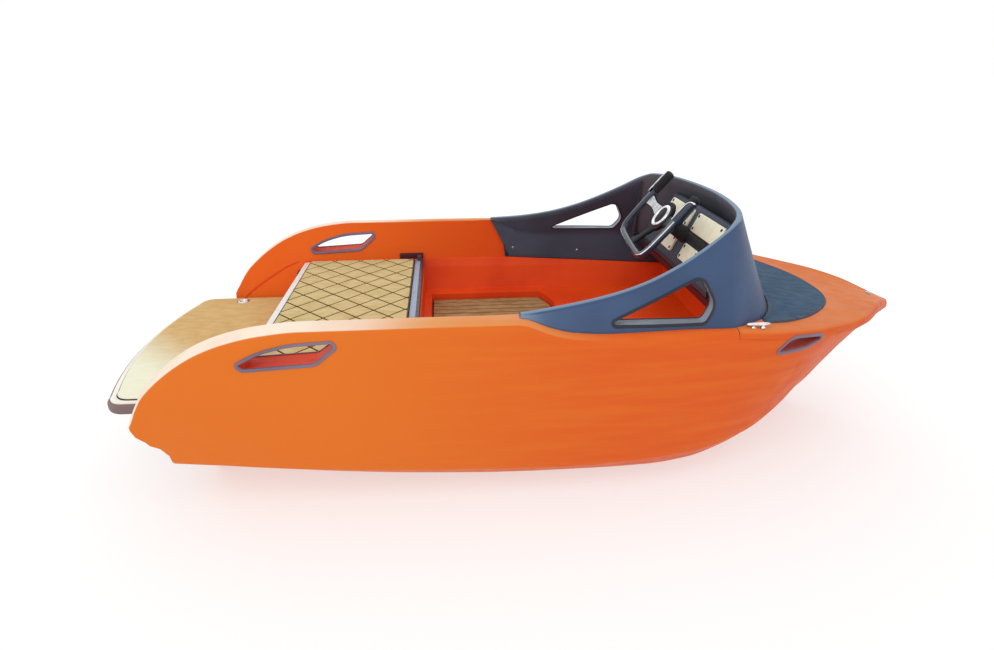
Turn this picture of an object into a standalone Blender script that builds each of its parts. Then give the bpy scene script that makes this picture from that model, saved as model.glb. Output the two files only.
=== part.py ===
"""Inshore rescue boat: a small jet-driven hull with a low stern deck, a bench hatch and a steering cowl.

Axes: +X runs to the bow, +Y to port and +Z up. The origin is on the ground, under the middle of
the boat, where it stands on the flat runners of its bottom. All sizes are in metres. The tables
count x from a point a little forward of the middle; the last step shifts the whole boat to it.
"""
import math
from collections import namedtuple

import bmesh
import bpy
from mathutils import Matrix, Vector

# Driving dimensions
BOW_X = 1.675
STERN_X = -1.755
DATUM_SHIFT = -(BOW_X + STERN_X) / 2
SHEER_Z = 0.780
GUNWALE_RADIUS = 0.028
GAP = 0.0003

# Inner walls of the cockpit lean inwards going down
WALL_REF_Z = 0.42
WALL_REF_Y = 0.565
WALL_LEAN = 0.27
TUB_WALL = 0.012
LEDGE_Z = 0.590
LEDGE_FRONT_Z = 0.535
TUB_FRONT_X = 0.80
TUB_FLOOR_Z = 0.430
TUB_FLOOR_T = 0.020

# Bench with the engine hatch
BENCH_AFT_X = -1.150
BENCH_FORE_X = -0.525
BENCH_BASE_Z = 0.546
LID_AFT_X = -1.145
LID_FORE_X = -0.530
LID_HALF_Y = 0.582
LID_Z = 0.555
LID_T = 0.035
LID_PIN_X = -0.548
LID_PIN_Z = 0.607
BAY_AFT_X = -1.080
BAY_FORE_X = -0.600
BAY_HALF_Y = 0.330
BAY_FLOOR_Z = 0.250

# Footwell in the tub floor
WELL_AFT_X = -0.500
WELL_FORE_X = 0.145
WELL_HALF_Y = 0.500
WELL_CORNER = (0.055, 0.150)
WELL_FLOOR_Z = 0.385
WELL_WALL = 0.012
MAT_T = 0.012

# Stern platform between and behind the wings
PLATFORM_TOP_Z = 0.420
PLATFORM_T = 0.048
PLATFORM_HALF_Y = 0.545
PLATFORM_CORNER_X = -1.690
PLATFORM_CORNER_R = 0.060
FENDER_T = 0.012
TRANSOM_X = -1.405
FIN_INNER_Y = 0.600

# Foredeck and cowl
DECK_AFT_X = 0.620
DECK_T = 0.030
DECK_LIP = 0.004
DECK_CROWN = 0.006
CROWN_X = (DECK_AFT_X, 0.85, 1.19, 1.50, 1.61, BOW_X)
CROWN_RISE = (0.0, DECK_CROWN, -0.008, -0.016, -0.006, 0.002)
COWL_RIM_T = 0.024
COWL_FOOT_T = 0.040
PANEL_T = 0.010
PANEL_GAP = 0.0025

# Jet drive
PUMP_Z = 0.160
PUMP_FRONT_X = -1.150
PUMP_END_X = -1.400
PUMP_OUTER_R = 0.088
PUMP_BORE_R = 0.073
IMPELLER_R = 0.067
IMPELLER_AFT_X = -1.290
NOZZLE_PIVOT_X = -1.422
BUCKET_PIVOT_X = -1.500
INTAKE_X = -0.912
INTAKE_HALF_X = 0.137
INTAKE_HALF_Y = 0.094
KEEL_RECESS = 0.0135
PLATE_Z = 0.003
PLATE_T = 0.010

# Steering wheel
WHEEL_CENTRE = (0.533, 0.0, 0.949)
WHEEL_TILT = math.radians(52.0)
WHEEL_TUBE_R = 0.018
WHEEL_DISH = 0.035
HUB_R = 0.065
HUB_BACK = -0.024
HUB_FRONT = -0.006
GRIP_R = 0.022
COLUMN_R = 0.034
SPOKE_R = 0.014
SPOKE_ROOT_OUT = -0.015

# Half of the rim's path, the spokes and a grip's ends, as places across and up the wheel's plane
YOKE_HALF = ((0.198, 0.050), (0.202, -0.020), (0.201, -0.095), (0.188, -0.146), (0.148, -0.170),
             (0.060, -0.174))
YOKE_SPOKES = (((0.0, -0.060), (0.0, -0.170)),
               ((0.060, 0.002), (0.198, 0.012)),
               ((-0.060, 0.002), (-0.198, 0.012)))
GRIP_ENDS = ((0.198, 0.0505), (0.194, 0.158))

# Side profile of the dash with its half-width, from the foot up its face and down its back
DASH_PROFILE = ((0.615, 0.410, 0.660), (0.604, 0.410, 0.740), (0.712, 0.335, 0.975), (0.732, 0.335, 0.975),
                (0.762, 0.410, 0.660))
DASH_PAD_T = 0.010

DashPad = namedtuple("DashPad", "level low high inner outer")

# Heights up the dash's face and distances from the middle
DASH_PADS = (DashPad("upper", 0.165, 0.250, 0.060, 0.315), DashPad("lower", 0.030, 0.105, 0.060, 0.250))

Station = namedtuple("Station", "x sheer_y sheer_z chine_y chine_z runner_y keel_z")

# Columns: place, sheer half-breadth and height, chine half-breadth and height, runner edge, keel
HULL_STATIONS = [Station(*row) for row in (
    (-1.520, 0.697, 0.435, 0.640, 0.226, 0.338, 0.000),
    (-1.490, 0.704, 0.490, 0.640, 0.224, 0.342, 0.000),
    (-1.455, 0.711, 0.545, 0.642, 0.222, 0.345, 0.000),
    (-1.400, 0.718, 0.600, 0.645, 0.218, 0.352, 0.000),
    (-1.330, 0.723, 0.655, 0.648, 0.212, 0.362, 0.000),
    (-1.246, 0.727, 0.705, 0.651, 0.205, 0.375, 0.000),
    (-1.150, 0.729, 0.742, 0.654, 0.195, 0.392, 0.000),
    (-1.040, 0.730, 0.767, 0.657, 0.184, 0.410, 0.000),
    (-0.900, 0.730, 0.780, 0.660, 0.172, 0.432, 0.000),
    (-0.550, 0.730, 0.780, 0.662, 0.150, 0.472, 0.000),
    (-0.170, 0.730, 0.778, 0.662, 0.135, 0.497, 0.000),
    (-0.050, 0.730, 0.736, 0.661, 0.131, 0.500, 0.000),
    (0.020, 0.730, 0.718, 0.660, 0.131, 0.500, 0.000),
    (0.150, 0.729, 0.708, 0.657, 0.133, 0.500, 0.000),
    (0.400, 0.722, 0.710, 0.645, 0.142, 0.492, 0.000),
    (0.600, 0.705, 0.701, 0.620, 0.162, 0.455, 0.000),
    (0.780, 0.676, 0.680, 0.570, 0.200, 0.375, 0.000),
    (0.950, 0.614, 0.656, 0.480, 0.256, 0.270, 0.000),
    (1.090, 0.545, 0.636, 0.385, 0.318, 0.160, 0.004),
    (1.220, 0.463, 0.617, 0.295, 0.372, 0.062, 0.030),
    (1.330, 0.382, 0.606, 0.222, 0.414, 0.022, 0.098),
    (1.430, 0.285, 0.598, 0.172, 0.442, 0.016, 0.226),
    (1.520, 0.186, 0.582, 0.118, 0.462, 0.014, 0.346),
    (1.610, 0.092, 0.548, 0.066, 0.478, 0.012, 0.440),
    (BOW_X, 0.024, 0.520, 0.018, 0.482, 0.008, 0.474),
)]

CowlRow = namedtuple("CowlRow", "foot_x foot_y rim_x rim_y rim_z")

# Starboard half of the cowl from its aft tip to the middle of its front
COWL_ROWS = [CowlRow(*row) for row in (
    (-0.165, 0.700, -0.160, 0.690, 0.788),
    (-0.050, 0.700, -0.050, 0.672, 0.798),
    (0.020, 0.700, 0.020, 0.662, 0.806),
    (0.150, 0.699, 0.150, 0.648, 0.828),
    (0.280, 0.696, 0.280, 0.634, 0.864),
    (0.400, 0.690, 0.400, 0.611, 0.913),
    (0.500, 0.683, 0.500, 0.582, 0.964),
    (0.600, 0.672, 0.600, 0.542, 1.022),
    (0.700, 0.612, 0.655, 0.497, 1.043),
    (0.785, 0.540, 0.695, 0.430, 1.048),
    (0.850, 0.435, 0.728, 0.345, 1.050),
    (0.905, 0.300, 0.755, 0.235, 1.050),
    (0.940, 0.150, 0.772, 0.115, 1.050),
    (0.955, 0.000, 0.778, 0.000, 1.050),
)]
PANEL_ROWS = 8

# Half plan of the foredeck pad, as x and y
PAD_HALF = ((0.775, 0.600), (0.850, 0.573), (0.920, 0.535), (0.990, 0.487), (1.060, 0.427), (1.130, 0.357),
            (1.190, 0.285), (1.240, 0.208), (1.270, 0.132), (1.284, 0.062), (1.287, 0.000))
PANEL_FRONT_X = 0.776
PANEL_SLANT = 0.53

# Outlines in side view, as x and z
AFT_SLOT = ((-1.130, 0.655), (-1.105, 0.622), (-0.855, 0.636), (-0.780, 0.695), (-0.792, 0.732),
            (-0.950, 0.732), (-1.045, 0.706))
BOW_SLOT = ((0.790, 0.588), (0.930, 0.580), (1.002, 0.600), (0.992, 0.622), (0.845, 0.645))
WINDOW = ((0.165, 0.730), (0.500, 0.724), (0.542, 0.784), (0.500, 0.866), (0.470, 0.872), (0.160, 0.746))
SLOT_TRIM_T = 0.009
BOW_TRIM_T = 0.006
BOW_POCKET_DEPTH = 0.055

SIDES = (("port", 1.0), ("starboard", -1.0))

ASSEMBLY = "rescue_boat"
CUTTERS = "cutters"


def reset_scene():
    """Empty the scene and make the two collections."""
    for obj in list(bpy.data.objects):
        bpy.data.objects.remove(obj, do_unlink=True)
    for name in (ASSEMBLY, CUTTERS):
        collection = bpy.data.collections.new(name)
        bpy.context.scene.collection.children.link(collection)


def make_material(name, color, roughness, metallic=0.0):
    """Return a Principled material."""
    material = bpy.data.materials.new(name)
    material.use_nodes = True
    shader = material.node_tree.nodes["Principled BSDF"]
    shader.inputs["Base Color"].default_value = (*color, 1.0)
    shader.inputs["Roughness"].default_value = roughness
    shader.inputs["Metallic"].default_value = metallic
    return material


def make_materials():
    """Return the object's finishes by name."""
    return {
        "orange": make_material("orange", (0.80, 0.20, 0.03), 0.35),
        "red_orange": make_material("red_orange", (0.62, 0.09, 0.02), 0.40),
        "slate": make_material("slate", (0.08, 0.12, 0.20), 0.45),
        "dark": make_material("dark", (0.03, 0.03, 0.05), 0.50),
        "black": make_material("black", (0.01, 0.01, 0.01), 0.35),
        "rubber": make_material("rubber", (0.16, 0.12, 0.13), 0.70),
        "cream": make_material("cream", (0.75, 0.58, 0.30), 0.80),
        "ivory": make_material("ivory", (0.80, 0.75, 0.60), 0.60),
        "grey": make_material("grey", (0.30, 0.36, 0.44), 0.45),
        "chrome": make_material("chrome", (0.80, 0.80, 0.82), 0.12, 1.0),
        "steel": make_material("steel", (0.50, 0.50, 0.52), 0.35, 1.0),
        "alloy": make_material("alloy", (0.55, 0.56, 0.58), 0.40, 1.0),
    }


def link(obj, material=None, cutter=False):
    """Put an object in its collection, with its material or as a hidden cutter."""
    bpy.data.collections[CUTTERS if cutter else ASSEMBLY].objects.link(obj)
    if cutter:
        obj.hide_render = True
        obj.display_type = "WIRE"
    if material is not None:
        obj.data.materials.append(material)
    return obj


def mesh_object(name, mesh_builder, material=None, cutter=False):
    """Make an object from a bmesh with its faces pointing out."""
    bmesh.ops.recalc_face_normals(mesh_builder, faces=mesh_builder.faces)
    mesh = bpy.data.meshes.new(name)
    mesh_builder.to_mesh(mesh)
    mesh_builder.free()
    return link(bpy.data.objects.new(name, mesh), material, cutter)


def loft(name, rings, material=None, cutter=False):
    """Join closed rings of equal point counts into a closed body with capped ends."""
    builder = bmesh.new()
    loops = [[builder.verts.new(point) for point in ring] for ring in rings]
    count = len(loops[0])
    for near, far in zip(loops, loops[1:]):
        for index in range(count):
            after = (index + 1) % count
            builder.faces.new((near[index], near[after], far[after], far[index]))
    builder.faces.new(loops[0])
    builder.faces.new(loops[-1])
    bmesh.ops.triangulate(builder, faces=builder.faces)
    return mesh_object(name, builder, material, cutter)


def box(name, low, high, material=None, cutter=False):
    """Make a box between two corners."""
    builder = bmesh.new()
    size = [b - a for a, b in zip(low, high)]
    middle = [(a + b) / 2 for a, b in zip(low, high)]
    bmesh.ops.create_cube(builder, size=1.0)
    bmesh.ops.scale(builder, vec=size, verts=builder.verts)
    bmesh.ops.translate(builder, vec=middle, verts=builder.verts)
    return mesh_object(name, builder, material, cutter)


def cylinder(name, start, end, radius, material=None, cutter=False, segments=24, end_radius=None):
    """Make a cylinder or cone between two points."""
    builder = bmesh.new()
    along = Vector(end) - Vector(start)
    turn = along.to_track_quat("Z", "Y").to_matrix().to_4x4()
    place = Matrix.Translation((Vector(start) + Vector(end)) / 2) @ turn
    top = radius if end_radius is None else end_radius
    bmesh.ops.create_cone(builder, cap_ends=True, segments=segments, radius1=radius, radius2=top,
                          depth=along.length, matrix=place)
    return mesh_object(name, builder, material, cutter)


def curve_to_mesh(curve_object, name, material, cutter, weld=1e-6):
    """Turn a curve object into a mesh object with its caps welded."""
    bpy.context.scene.collection.objects.link(curve_object)
    depsgraph = bpy.context.evaluated_depsgraph_get()
    mesh = bpy.data.meshes.new_from_object(curve_object.evaluated_get(depsgraph))
    builder = bmesh.new()
    builder.from_mesh(mesh)
    bmesh.ops.remove_doubles(builder, verts=builder.verts, dist=weld)
    bmesh.ops.recalc_face_normals(builder, faces=builder.faces)
    builder.to_mesh(mesh)
    builder.free()
    mesh.name = name
    place = curve_object.matrix_world.copy()
    bpy.data.objects.remove(curve_object, do_unlink=True)
    obj = bpy.data.objects.new(name, mesh)
    obj.matrix_world = place
    return link(obj, material, cutter)


PLAN = Matrix.Identity(4)
SIDE = Matrix.Rotation(math.pi / 2, 4, "X")


def plate(name, outlines, low, high, view, material=None, cutter=False):
    """Extrude flat outlines, seen in plan or from the side; inner outlines are holes.

    Low and high are z in plan and y from the side.
    """
    curve = bpy.data.curves.new(name + "_outline", "CURVE")
    curve.dimensions = "2D"
    curve.fill_mode = "BOTH"
    curve.extrude = (high - low) / 2
    for outline in outlines:
        spline = curve.splines.new("POLY")
        spline.points.add(len(outline) - 1)
        for point, (across, up) in zip(spline.points, outline):
            point.co = (across, up, 0.0, 1.0)
        spline.use_cyclic_u = True
    obj = bpy.data.objects.new(name + "_outline", curve)
    middle = (low + high) / 2
    place = (0.0, 0.0, middle) if view is PLAN else (0.0, middle, 0.0)
    obj.matrix_world = Matrix.Translation(place) @ view
    return curve_to_mesh(obj, name, material, cutter)


def tube(name, points, radius, material=None, cutter=False, resolution=2, cyclic=False):
    """Sweep a round bar along points."""
    curve = bpy.data.curves.new(name + "_path", "CURVE")
    curve.dimensions = "3D"
    curve.bevel_depth = radius
    curve.bevel_resolution = resolution
    curve.use_fill_caps = not cyclic
    spline = curve.splines.new("POLY")
    spline.points.add(len(points) - 1)
    for point, place in zip(spline.points, points):
        point.co = (*place, 1.0)
    spline.use_cyclic_u = cyclic
    return curve_to_mesh(bpy.data.objects.new(name + "_path", curve), name, material, cutter)


def turned(name, profile, place, axis, material=None, cutter=False, steps=24):
    """Turn a closed profile of (radius, height) about its axis with a Screw modifier."""
    pairs = zip(profile, profile[1:] + profile[:1])
    area = sum(first[0] * second[1] - second[0] * first[1] for first, second in pairs)
    downwards = profile[::-1] if area > 0 else profile
    builder = bmesh.new()
    verts = [builder.verts.new((radius, 0.0, height)) for radius, height in downwards]
    for first, second in zip(verts, verts[1:] + verts[:1]):
        builder.edges.new((first, second))
    mesh = bpy.data.meshes.new(name)
    builder.to_mesh(mesh)
    builder.free()
    obj = link(bpy.data.objects.new(name, mesh), material, cutter)
    turn = Vector(axis).to_track_quat("Z", "Y").to_matrix().to_4x4()
    obj.matrix_world = Matrix.Translation(place) @ turn
    screw = obj.modifiers.new("turn", "SCREW")
    screw.steps = steps
    screw.render_steps = steps
    screw.use_merge_vertices = True
    screw.merge_threshold = 0.00001
    return obj


def cut(obj, cutter, operation="DIFFERENCE"):
    """Add an exact Boolean."""
    modifier = obj.modifiers.new("boolean", "BOOLEAN")
    modifier.operation = operation
    modifier.solver = "EXACT"
    modifier.object = cutter
    return obj


def set_origin(obj, origin):
    """Move an object's origin onto its joint without moving the object."""
    shift = obj.matrix_world.inverted() @ Vector(origin)
    obj.data.transform(Matrix.Translation(-shift))
    obj.matrix_world.translation = Vector(origin)
    return obj


def rounded(outline, radius, steps=3):
    """Round the corners of a closed outline with arcs of one radius."""
    result = []
    count = len(outline)
    for index in range(count):
        corner = Vector(outline[index])
        before = (Vector(outline[index - 1]) - corner)
        after = (Vector(outline[(index + 1) % count]) - corner)
        half = before.angle(after) / 2
        reach = min(radius / math.tan(half), 0.45 * before.length, 0.45 * after.length)
        arc = reach * math.tan(half)
        centre = corner + (before.normalized() + after.normalized()).normalized() * arc / math.sin(half)
        start = corner + before.normalized() * reach - centre
        end = corner + after.normalized() * reach - centre
        for step in range(steps + 1):
            share = step / steps
            spoke = start.lerp(end, share).normalized() * arc
            result.append(tuple(centre + spoke))
    return result


def offset(outline, distance):
    """Move a closed outline outwards by a distance, or inwards where it is negative."""
    count = len(outline)
    area = sum(outline[i - 1][0] * outline[i][1] - outline[i][0] * outline[i - 1][1] for i in range(count))
    side = 1.0 if area > 0 else -1.0
    result = []
    for index in range(count):
        here = Vector(outline[index])
        before = (here - Vector(outline[index - 1])).normalized()
        after = (Vector(outline[(index + 1) % count]) - here).normalized()
        first = Vector((before.y, -before.x)) * side
        second = Vector((after.y, -after.x)) * side
        mitre = (first + second).normalized()
        result.append(tuple(here + mitre * distance / max(mitre.dot(first), 0.3)))
    return result


def mirrored(half):
    """Close a half outline on the centre line with its mirror image."""
    other = [(x, -y) for x, y in reversed(half) if abs(y) > 1e-6]
    return list(half) + other


def interpolate(x, xs, values):
    """Read a value between table rows."""
    if x <= xs[0]:
        return values[0]
    for left, right, first, second in zip(xs, xs[1:], values, values[1:]):
        if x <= right:
            return first + (second - first) * (x - left) / (right - left)
    return values[-1]


STATION_X = [station.x for station in HULL_STATIONS]


def sheer_y(x):
    """Half-breadth of the sheer at a place along the boat."""
    return interpolate(x, STATION_X, [station.sheer_y for station in HULL_STATIONS])


def sheer_z(x):
    """Height of the sheer at a place along the boat."""
    return interpolate(x, STATION_X, [station.sheer_z for station in HULL_STATIONS])


def wall_y(z):
    """Half-width between the leaning cockpit walls at a height."""
    return WALL_REF_Y + (z - WALL_REF_Z) * WALL_LEAN


def ledge_z(x):
    """Height of the tub's top edge."""
    return interpolate(x, (-0.10, TUB_FRONT_X), (LEDGE_Z, LEDGE_FRONT_Z))


def crown(x):
    """Rise of the foredeck's middle over its edges: a slight dish towards the bow."""
    return interpolate(x, CROWN_X, CROWN_RISE)


def deck_z(x, y):
    """Height of the foredeck's surface."""
    share = min(abs(y) / sheer_y(x), 1.0)
    return sheer_z(x) + crown(x) * (1.0 - share * share)


def side_bulge(x):
    """Share of the way from the chine to the sheer at which the side's middle lies: flared at the bow."""
    return interpolate(x, (0.90, 1.33), (0.62, 0.42))


def hull_half_ring(station):
    """Half section of the hull from its top edge down to the keel line."""
    sheer, top = station.sheer_y, station.sheer_z
    if station.x < DECK_AFT_X:
        roll = ((sheer - 1.2 * GUNWALE_RADIUS, top),
                (sheer - 0.35 * GUNWALE_RADIUS, top - 0.25 * GUNWALE_RADIUS),
                (sheer, top - GUNWALE_RADIUS))
    else:
        top -= DECK_T + GAP
        roll = ((sheer * 0.90, top), (sheer * 0.96, top - 0.0002), (sheer, top - 0.0006))
    runner, keel = station.runner_y, station.keel_z
    groove = min(0.045, 0.10 * runner)
    bulge = side_bulge(station.x) * (sheer - station.chine_y)
    side_mid = (station.chine_y + bulge, (station.chine_z + top) / 2)
    return [*roll, side_mid, (station.chine_y, station.chine_z), (runner, keel), (0.84 * runner, keel),
            (0.72 * runner, keel + groove), (0.48 * runner, keel + groove), (0.36 * runner, keel)]


def full_ring(x, half):
    """Section ring at a place along the boat from its port half."""
    port = [(x, y, z) for y, z in half]
    starboard = [(x, -y, z) for y, z in reversed(half)]
    return port + starboard


def deck_break_station():
    """Hull section just aft of the foredeck's edge."""
    x = DECK_AFT_X - 0.001
    values = [interpolate(x, STATION_X, [getattr(row, name) for row in HULL_STATIONS])
              for name in Station._fields]
    return Station(*values)


def trapezoid_rings(xs, inset, low_z, high_z):
    """Rings between the leaning cockpit walls, with an inset from each wall."""
    rings = []
    for x, top in zip(xs, high_z):
        half = [(wall_y(top) - inset, top), (wall_y(low_z) - inset, low_z)]
        rings.append(full_ring(x, half))
    return rings


def well_outline(inset):
    """Plan of the footwell, with chamfered front corners."""
    length, width = WELL_CORNER
    half = [(WELL_FORE_X - inset, 0.0), (WELL_FORE_X - inset, WELL_HALF_Y - width),
            (WELL_FORE_X - length - 0.6 * inset, WELL_HALF_Y - inset),
            (WELL_AFT_X + inset, WELL_HALF_Y - inset)]
    return mirrored(half)


def platform_outline(inset, aft_x=STERN_X, fore_x=BENCH_AFT_X - 0.001):
    """Plan of the stern platform: a shallow arc aft, rounded corners and straight sides."""
    half_y = PLATFORM_HALF_Y - inset
    radius = PLATFORM_CORNER_R
    sag = PLATFORM_CORNER_X - aft_x
    half = [(fore_x, 0.0), (fore_x, half_y)]
    corner_x = PLATFORM_CORNER_X + inset + radius
    for step in range(5):
        angle = math.radians(90.0 * step / 4)
        half.append((corner_x - radius * math.sin(angle), half_y - radius + radius * math.cos(angle)))
    flat = half_y - radius
    for step in range(1, 6):
        y = flat * (1.0 - step / 5)
        half.append((PLATFORM_CORNER_X + inset - sag * (1.0 - (y / flat) ** 2), y))
    return mirrored(half)


def build_hull(mats):
    """Outer moulding with rolled gunwales, stern wings, grooved bottom, jet duct and engine bay."""
    stations = list(HULL_STATIONS)
    place = next(i for i, row in enumerate(stations) if row.x > DECK_AFT_X)
    stations.insert(place, deck_break_station()._replace(x=DECK_AFT_X))
    stations.insert(place, deck_break_station())
    hull = loft("hull", [full_ring(row.x, hull_half_ring(row)) for row in stations], mats["orange"])

    xs = (-1.80, BENCH_AFT_X, TUB_FRONT_X)
    cut(hull, loft("cut_cockpit", trapezoid_rings(xs, 0.0, TUB_FLOOR_Z - TUB_FLOOR_T - GAP, (1.2, 1.2, 1.2)),
                   cutter=True))
    seat = PLATFORM_TOP_Z - PLATFORM_T - GAP
    cut(hull, loft("cut_platform_seat", trapezoid_rings((-1.80, BENCH_AFT_X), 0.0, seat, (0.5, 0.5)),
                   cutter=True))
    cut(hull, box("cut_transom", (-1.80, -FIN_INNER_Y, -0.1), (TRANSOM_X, FIN_INNER_Y, 0.44), cutter=True))
    rake = [(-1.80, 0.440), (-1.530, 0.440), (-1.512, 0.365), (-1.487, 0.335), (-1.480, 0.318),
            (-1.450, 0.300), (-1.430, 0.262), (-1.425, -0.10), (-1.80, -0.10)]
    cut(hull, plate("cut_rake", [rake], -0.9, 0.9, SIDE, cutter=True))
    well = plate("cut_well", [well_outline(-GAP)], WELL_FLOOR_Z - WELL_WALL - GAP, 0.43, PLAN, cutter=True)
    cut(hull, well)
    cut(hull, box("cut_bay", (BAY_AFT_X, -BAY_HALF_Y, BAY_FLOOR_Z), (BAY_FORE_X, BAY_HALF_Y, 0.45),
                  cutter=True))

    tunnel = PUMP_OUTER_R + 0.022
    cut(hull, box("cut_tunnel", (-1.80, -tunnel, -0.1), (PUMP_FRONT_X, tunnel, 0.270), cutter=True))
    cut(hull, loft("cut_duct", duct_rings(), cutter=True))
    cut(hull, box("cut_keel_recess", (-1.80, -0.125, -0.1), (-0.755, 0.125, KEEL_RECESS), cutter=True))

    for side, sign in SIDES:
        outline = rounded(AFT_SLOT, 0.018)
        low, high = sorted((sign * 0.55, sign * 0.80))
        cut(hull, plate("cut_slot_aft_" + side, [outline], low, high, SIDE, cutter=True))
        cut(hull, bow_pocket("cut_slot_bow_" + side, sign, 0.0, 0.20, 0.0))
    return hull


def duct_rings():
    """Intake duct from the round pump bore down to a long opening in the keel."""
    rings = []
    for share in (0.0, 0.35, 0.7, 1.0):
        ring = []
        for step in range(16):
            angle = 2 * math.pi * step / 16
            across, along = math.cos(angle), math.sin(angle)
            bore = Vector((PUMP_FRONT_X - 0.002, PUMP_BORE_R * across, PUMP_Z + PUMP_BORE_R * along))
            mouth = Vector((INTAKE_X + INTAKE_HALF_X * along, INTAKE_HALF_Y * across, -0.02))
            ring.append(bore.lerp(mouth, share))
        rings.append(ring)
    return rings


def side_surface_y(x, z):
    """Half-breadth of the hull's side at a height between its chine and its sheer."""
    chine_y = interpolate(x, STATION_X, [station.chine_y for station in HULL_STATIONS])
    chine_z = interpolate(x, STATION_X, [station.chine_z for station in HULL_STATIONS])
    top = sheer_z(x) - DECK_T
    share = (z - chine_z) / (top - chine_z)
    middle = chine_y + side_bulge(x) * (sheer_y(x) - chine_y)
    if share < 0.5:
        return chine_y + (middle - chine_y) * share / 0.5
    return middle + (sheer_y(x) - middle) * (share - 0.5) / 0.5


def bow_pocket(name, sign, grow, outwards, inwards, material=None, cutter=True):
    """Slanted prism over the bow handle: its outer and inner ends follow the hull's side."""
    outline = rounded(offset(BOW_SLOT, grow), 0.012)
    inner = [(x, sign * (side_surface_y(x, z) - BOW_POCKET_DEPTH + inwards), z) for x, z in outline]
    outer = [(x, sign * (side_surface_y(x, z) + outwards), z) for x, z in outline]
    return loft(name, [inner, outer], material, cutter)


def build_foredeck(mats):
    """Crowned deck moulding from the dash shelf to the bow, notched by the bow hand recesses."""
    xs = [DECK_AFT_X + GAP] + [row.x for row in HULL_STATIONS if row.x > DECK_AFT_X]
    deck = loft("foredeck", [deck_ring(x, 0.0) for x in xs], mats["orange"])
    for side, sign in SIDES:
        cut(deck, bow_pocket("cut_deck_slot_" + side, sign, 0.0, 0.20, 0.0))
    return deck


def deck_ring(x, lift, deeper=0.0):
    """Section of the foredeck: flat underneath, rounded edges and a crowned top.

    A cutter is lifted by the gap that it leaves and made deeper than the deck.
    """
    edge = sheer_y(x)
    radius = min(GUNWALE_RADIUS, 0.6 * edge)
    low = sheer_z(x) - DECK_T
    half = [(edge * 0.5, low - deeper), (edge, low - deeper), (edge, low + DECK_LIP + lift)]
    for angle in (30.0, 60.0):
        turn = math.radians(angle)
        rise = (DECK_T - DECK_LIP) * math.sin(turn)
        half.append((edge - radius * (1 - math.cos(turn)), low + DECK_LIP + lift + rise))
    for share in (0.90, 0.60, 0.25):
        y = (edge - radius) * share / 0.90
        half.append((y, deck_z(x, y) + lift))
    return full_ring(x, half)


def build_cockpit_liner(mats):
    """Tub with the bench base, the engine bay coaming and the footwell."""
    xs = (BENCH_AFT_X + GAP, -0.10, TUB_FRONT_X - GAP)
    rings = trapezoid_rings(xs, GAP, TUB_FLOOR_Z - TUB_FLOOR_T, [ledge_z(x) for x in xs])
    liner = loft("cockpit_liner", rings, mats["red_orange"])
    well = plate("well_block", [well_outline(0.0)], WELL_FLOOR_Z - WELL_WALL, 0.42, PLAN, cutter=True)
    cut(liner, well, "UNION")
    tub_ends = (BENCH_FORE_X, TUB_FRONT_X - 0.014)
    inner = trapezoid_rings(tub_ends, TUB_WALL, TUB_FLOOR_Z, (0.9, 0.9))
    cut(liner, loft("cut_tub", inner, cutter=True))
    above_bench = trapezoid_rings((-1.30, -0.40), TUB_WALL, BENCH_BASE_Z, (0.9, 0.9))
    cut(liner, loft("cut_bench_top", above_bench, cutter=True))
    cut(liner, plate("cut_well_inside", [well_outline(WELL_WALL)], WELL_FLOOR_Z, 0.50, PLAN, cutter=True))
    cut(liner, box("cut_bay_coaming", (BAY_AFT_X, -BAY_HALF_Y, 0.30), (BAY_FORE_X, BAY_HALF_Y, 0.70),
                   cutter=True))
    return liner


def build_platform(mats):
    """Stern platform slab, its rubber edge, its pad, brackets and eyes."""
    top, bottom = PLATFORM_TOP_Z, PLATFORM_TOP_Z - PLATFORM_T
    core = platform_outline(FENDER_T + GAP)
    slab = plate("stern_platform", [core], bottom, top, PLAN, mats["ivory"])
    fender = plate("platform_fender", [platform_outline(0.0)], bottom + 0.002, top - 0.006, PLAN,
                   mats["rubber"])
    reach = platform_outline(FENDER_T, fore_x=BENCH_AFT_X + 0.05)
    cut(fender, plate("cut_fender", [reach], bottom - 0.05, top + 0.05, PLAN, cutter=True))
    pad_outline = platform_outline(FENDER_T + 0.020, fore_x=BENCH_AFT_X - 0.020)
    pad = plate("platform_pad", [pad_outline], top + GAP, top + 0.007, PLAN, mats["cream"])
    for side, sign in SIDES:
        eye_x, eye_y = -1.455, sign * 0.470
        ring = [(0.029, 0.0), (0.029, 0.007), (0.022, 0.010), (0.015, 0.007), (0.015, 0.0)]
        turned("platform_eye_" + side, ring, (eye_x, eye_y, top + GAP), (0, 0, 1), mats["chrome"])
        cut(pad, cylinder("cut_eye_" + side, (eye_x, eye_y, 0.41), (eye_x, eye_y, 0.45), 0.031, cutter=True))
        gusset = [(TRANSOM_X - GAP, bottom - GAP), (TRANSOM_X - 0.220, bottom - GAP),
                  (TRANSOM_X - 0.220, bottom - 0.020), (TRANSOM_X - GAP, bottom - 0.150)]
        low, high = sorted((sign * 0.390, sign * 0.402))
        plate("platform_bracket_" + side, [gusset], low, high, SIDE, mats["alloy"])
    return slab


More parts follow.
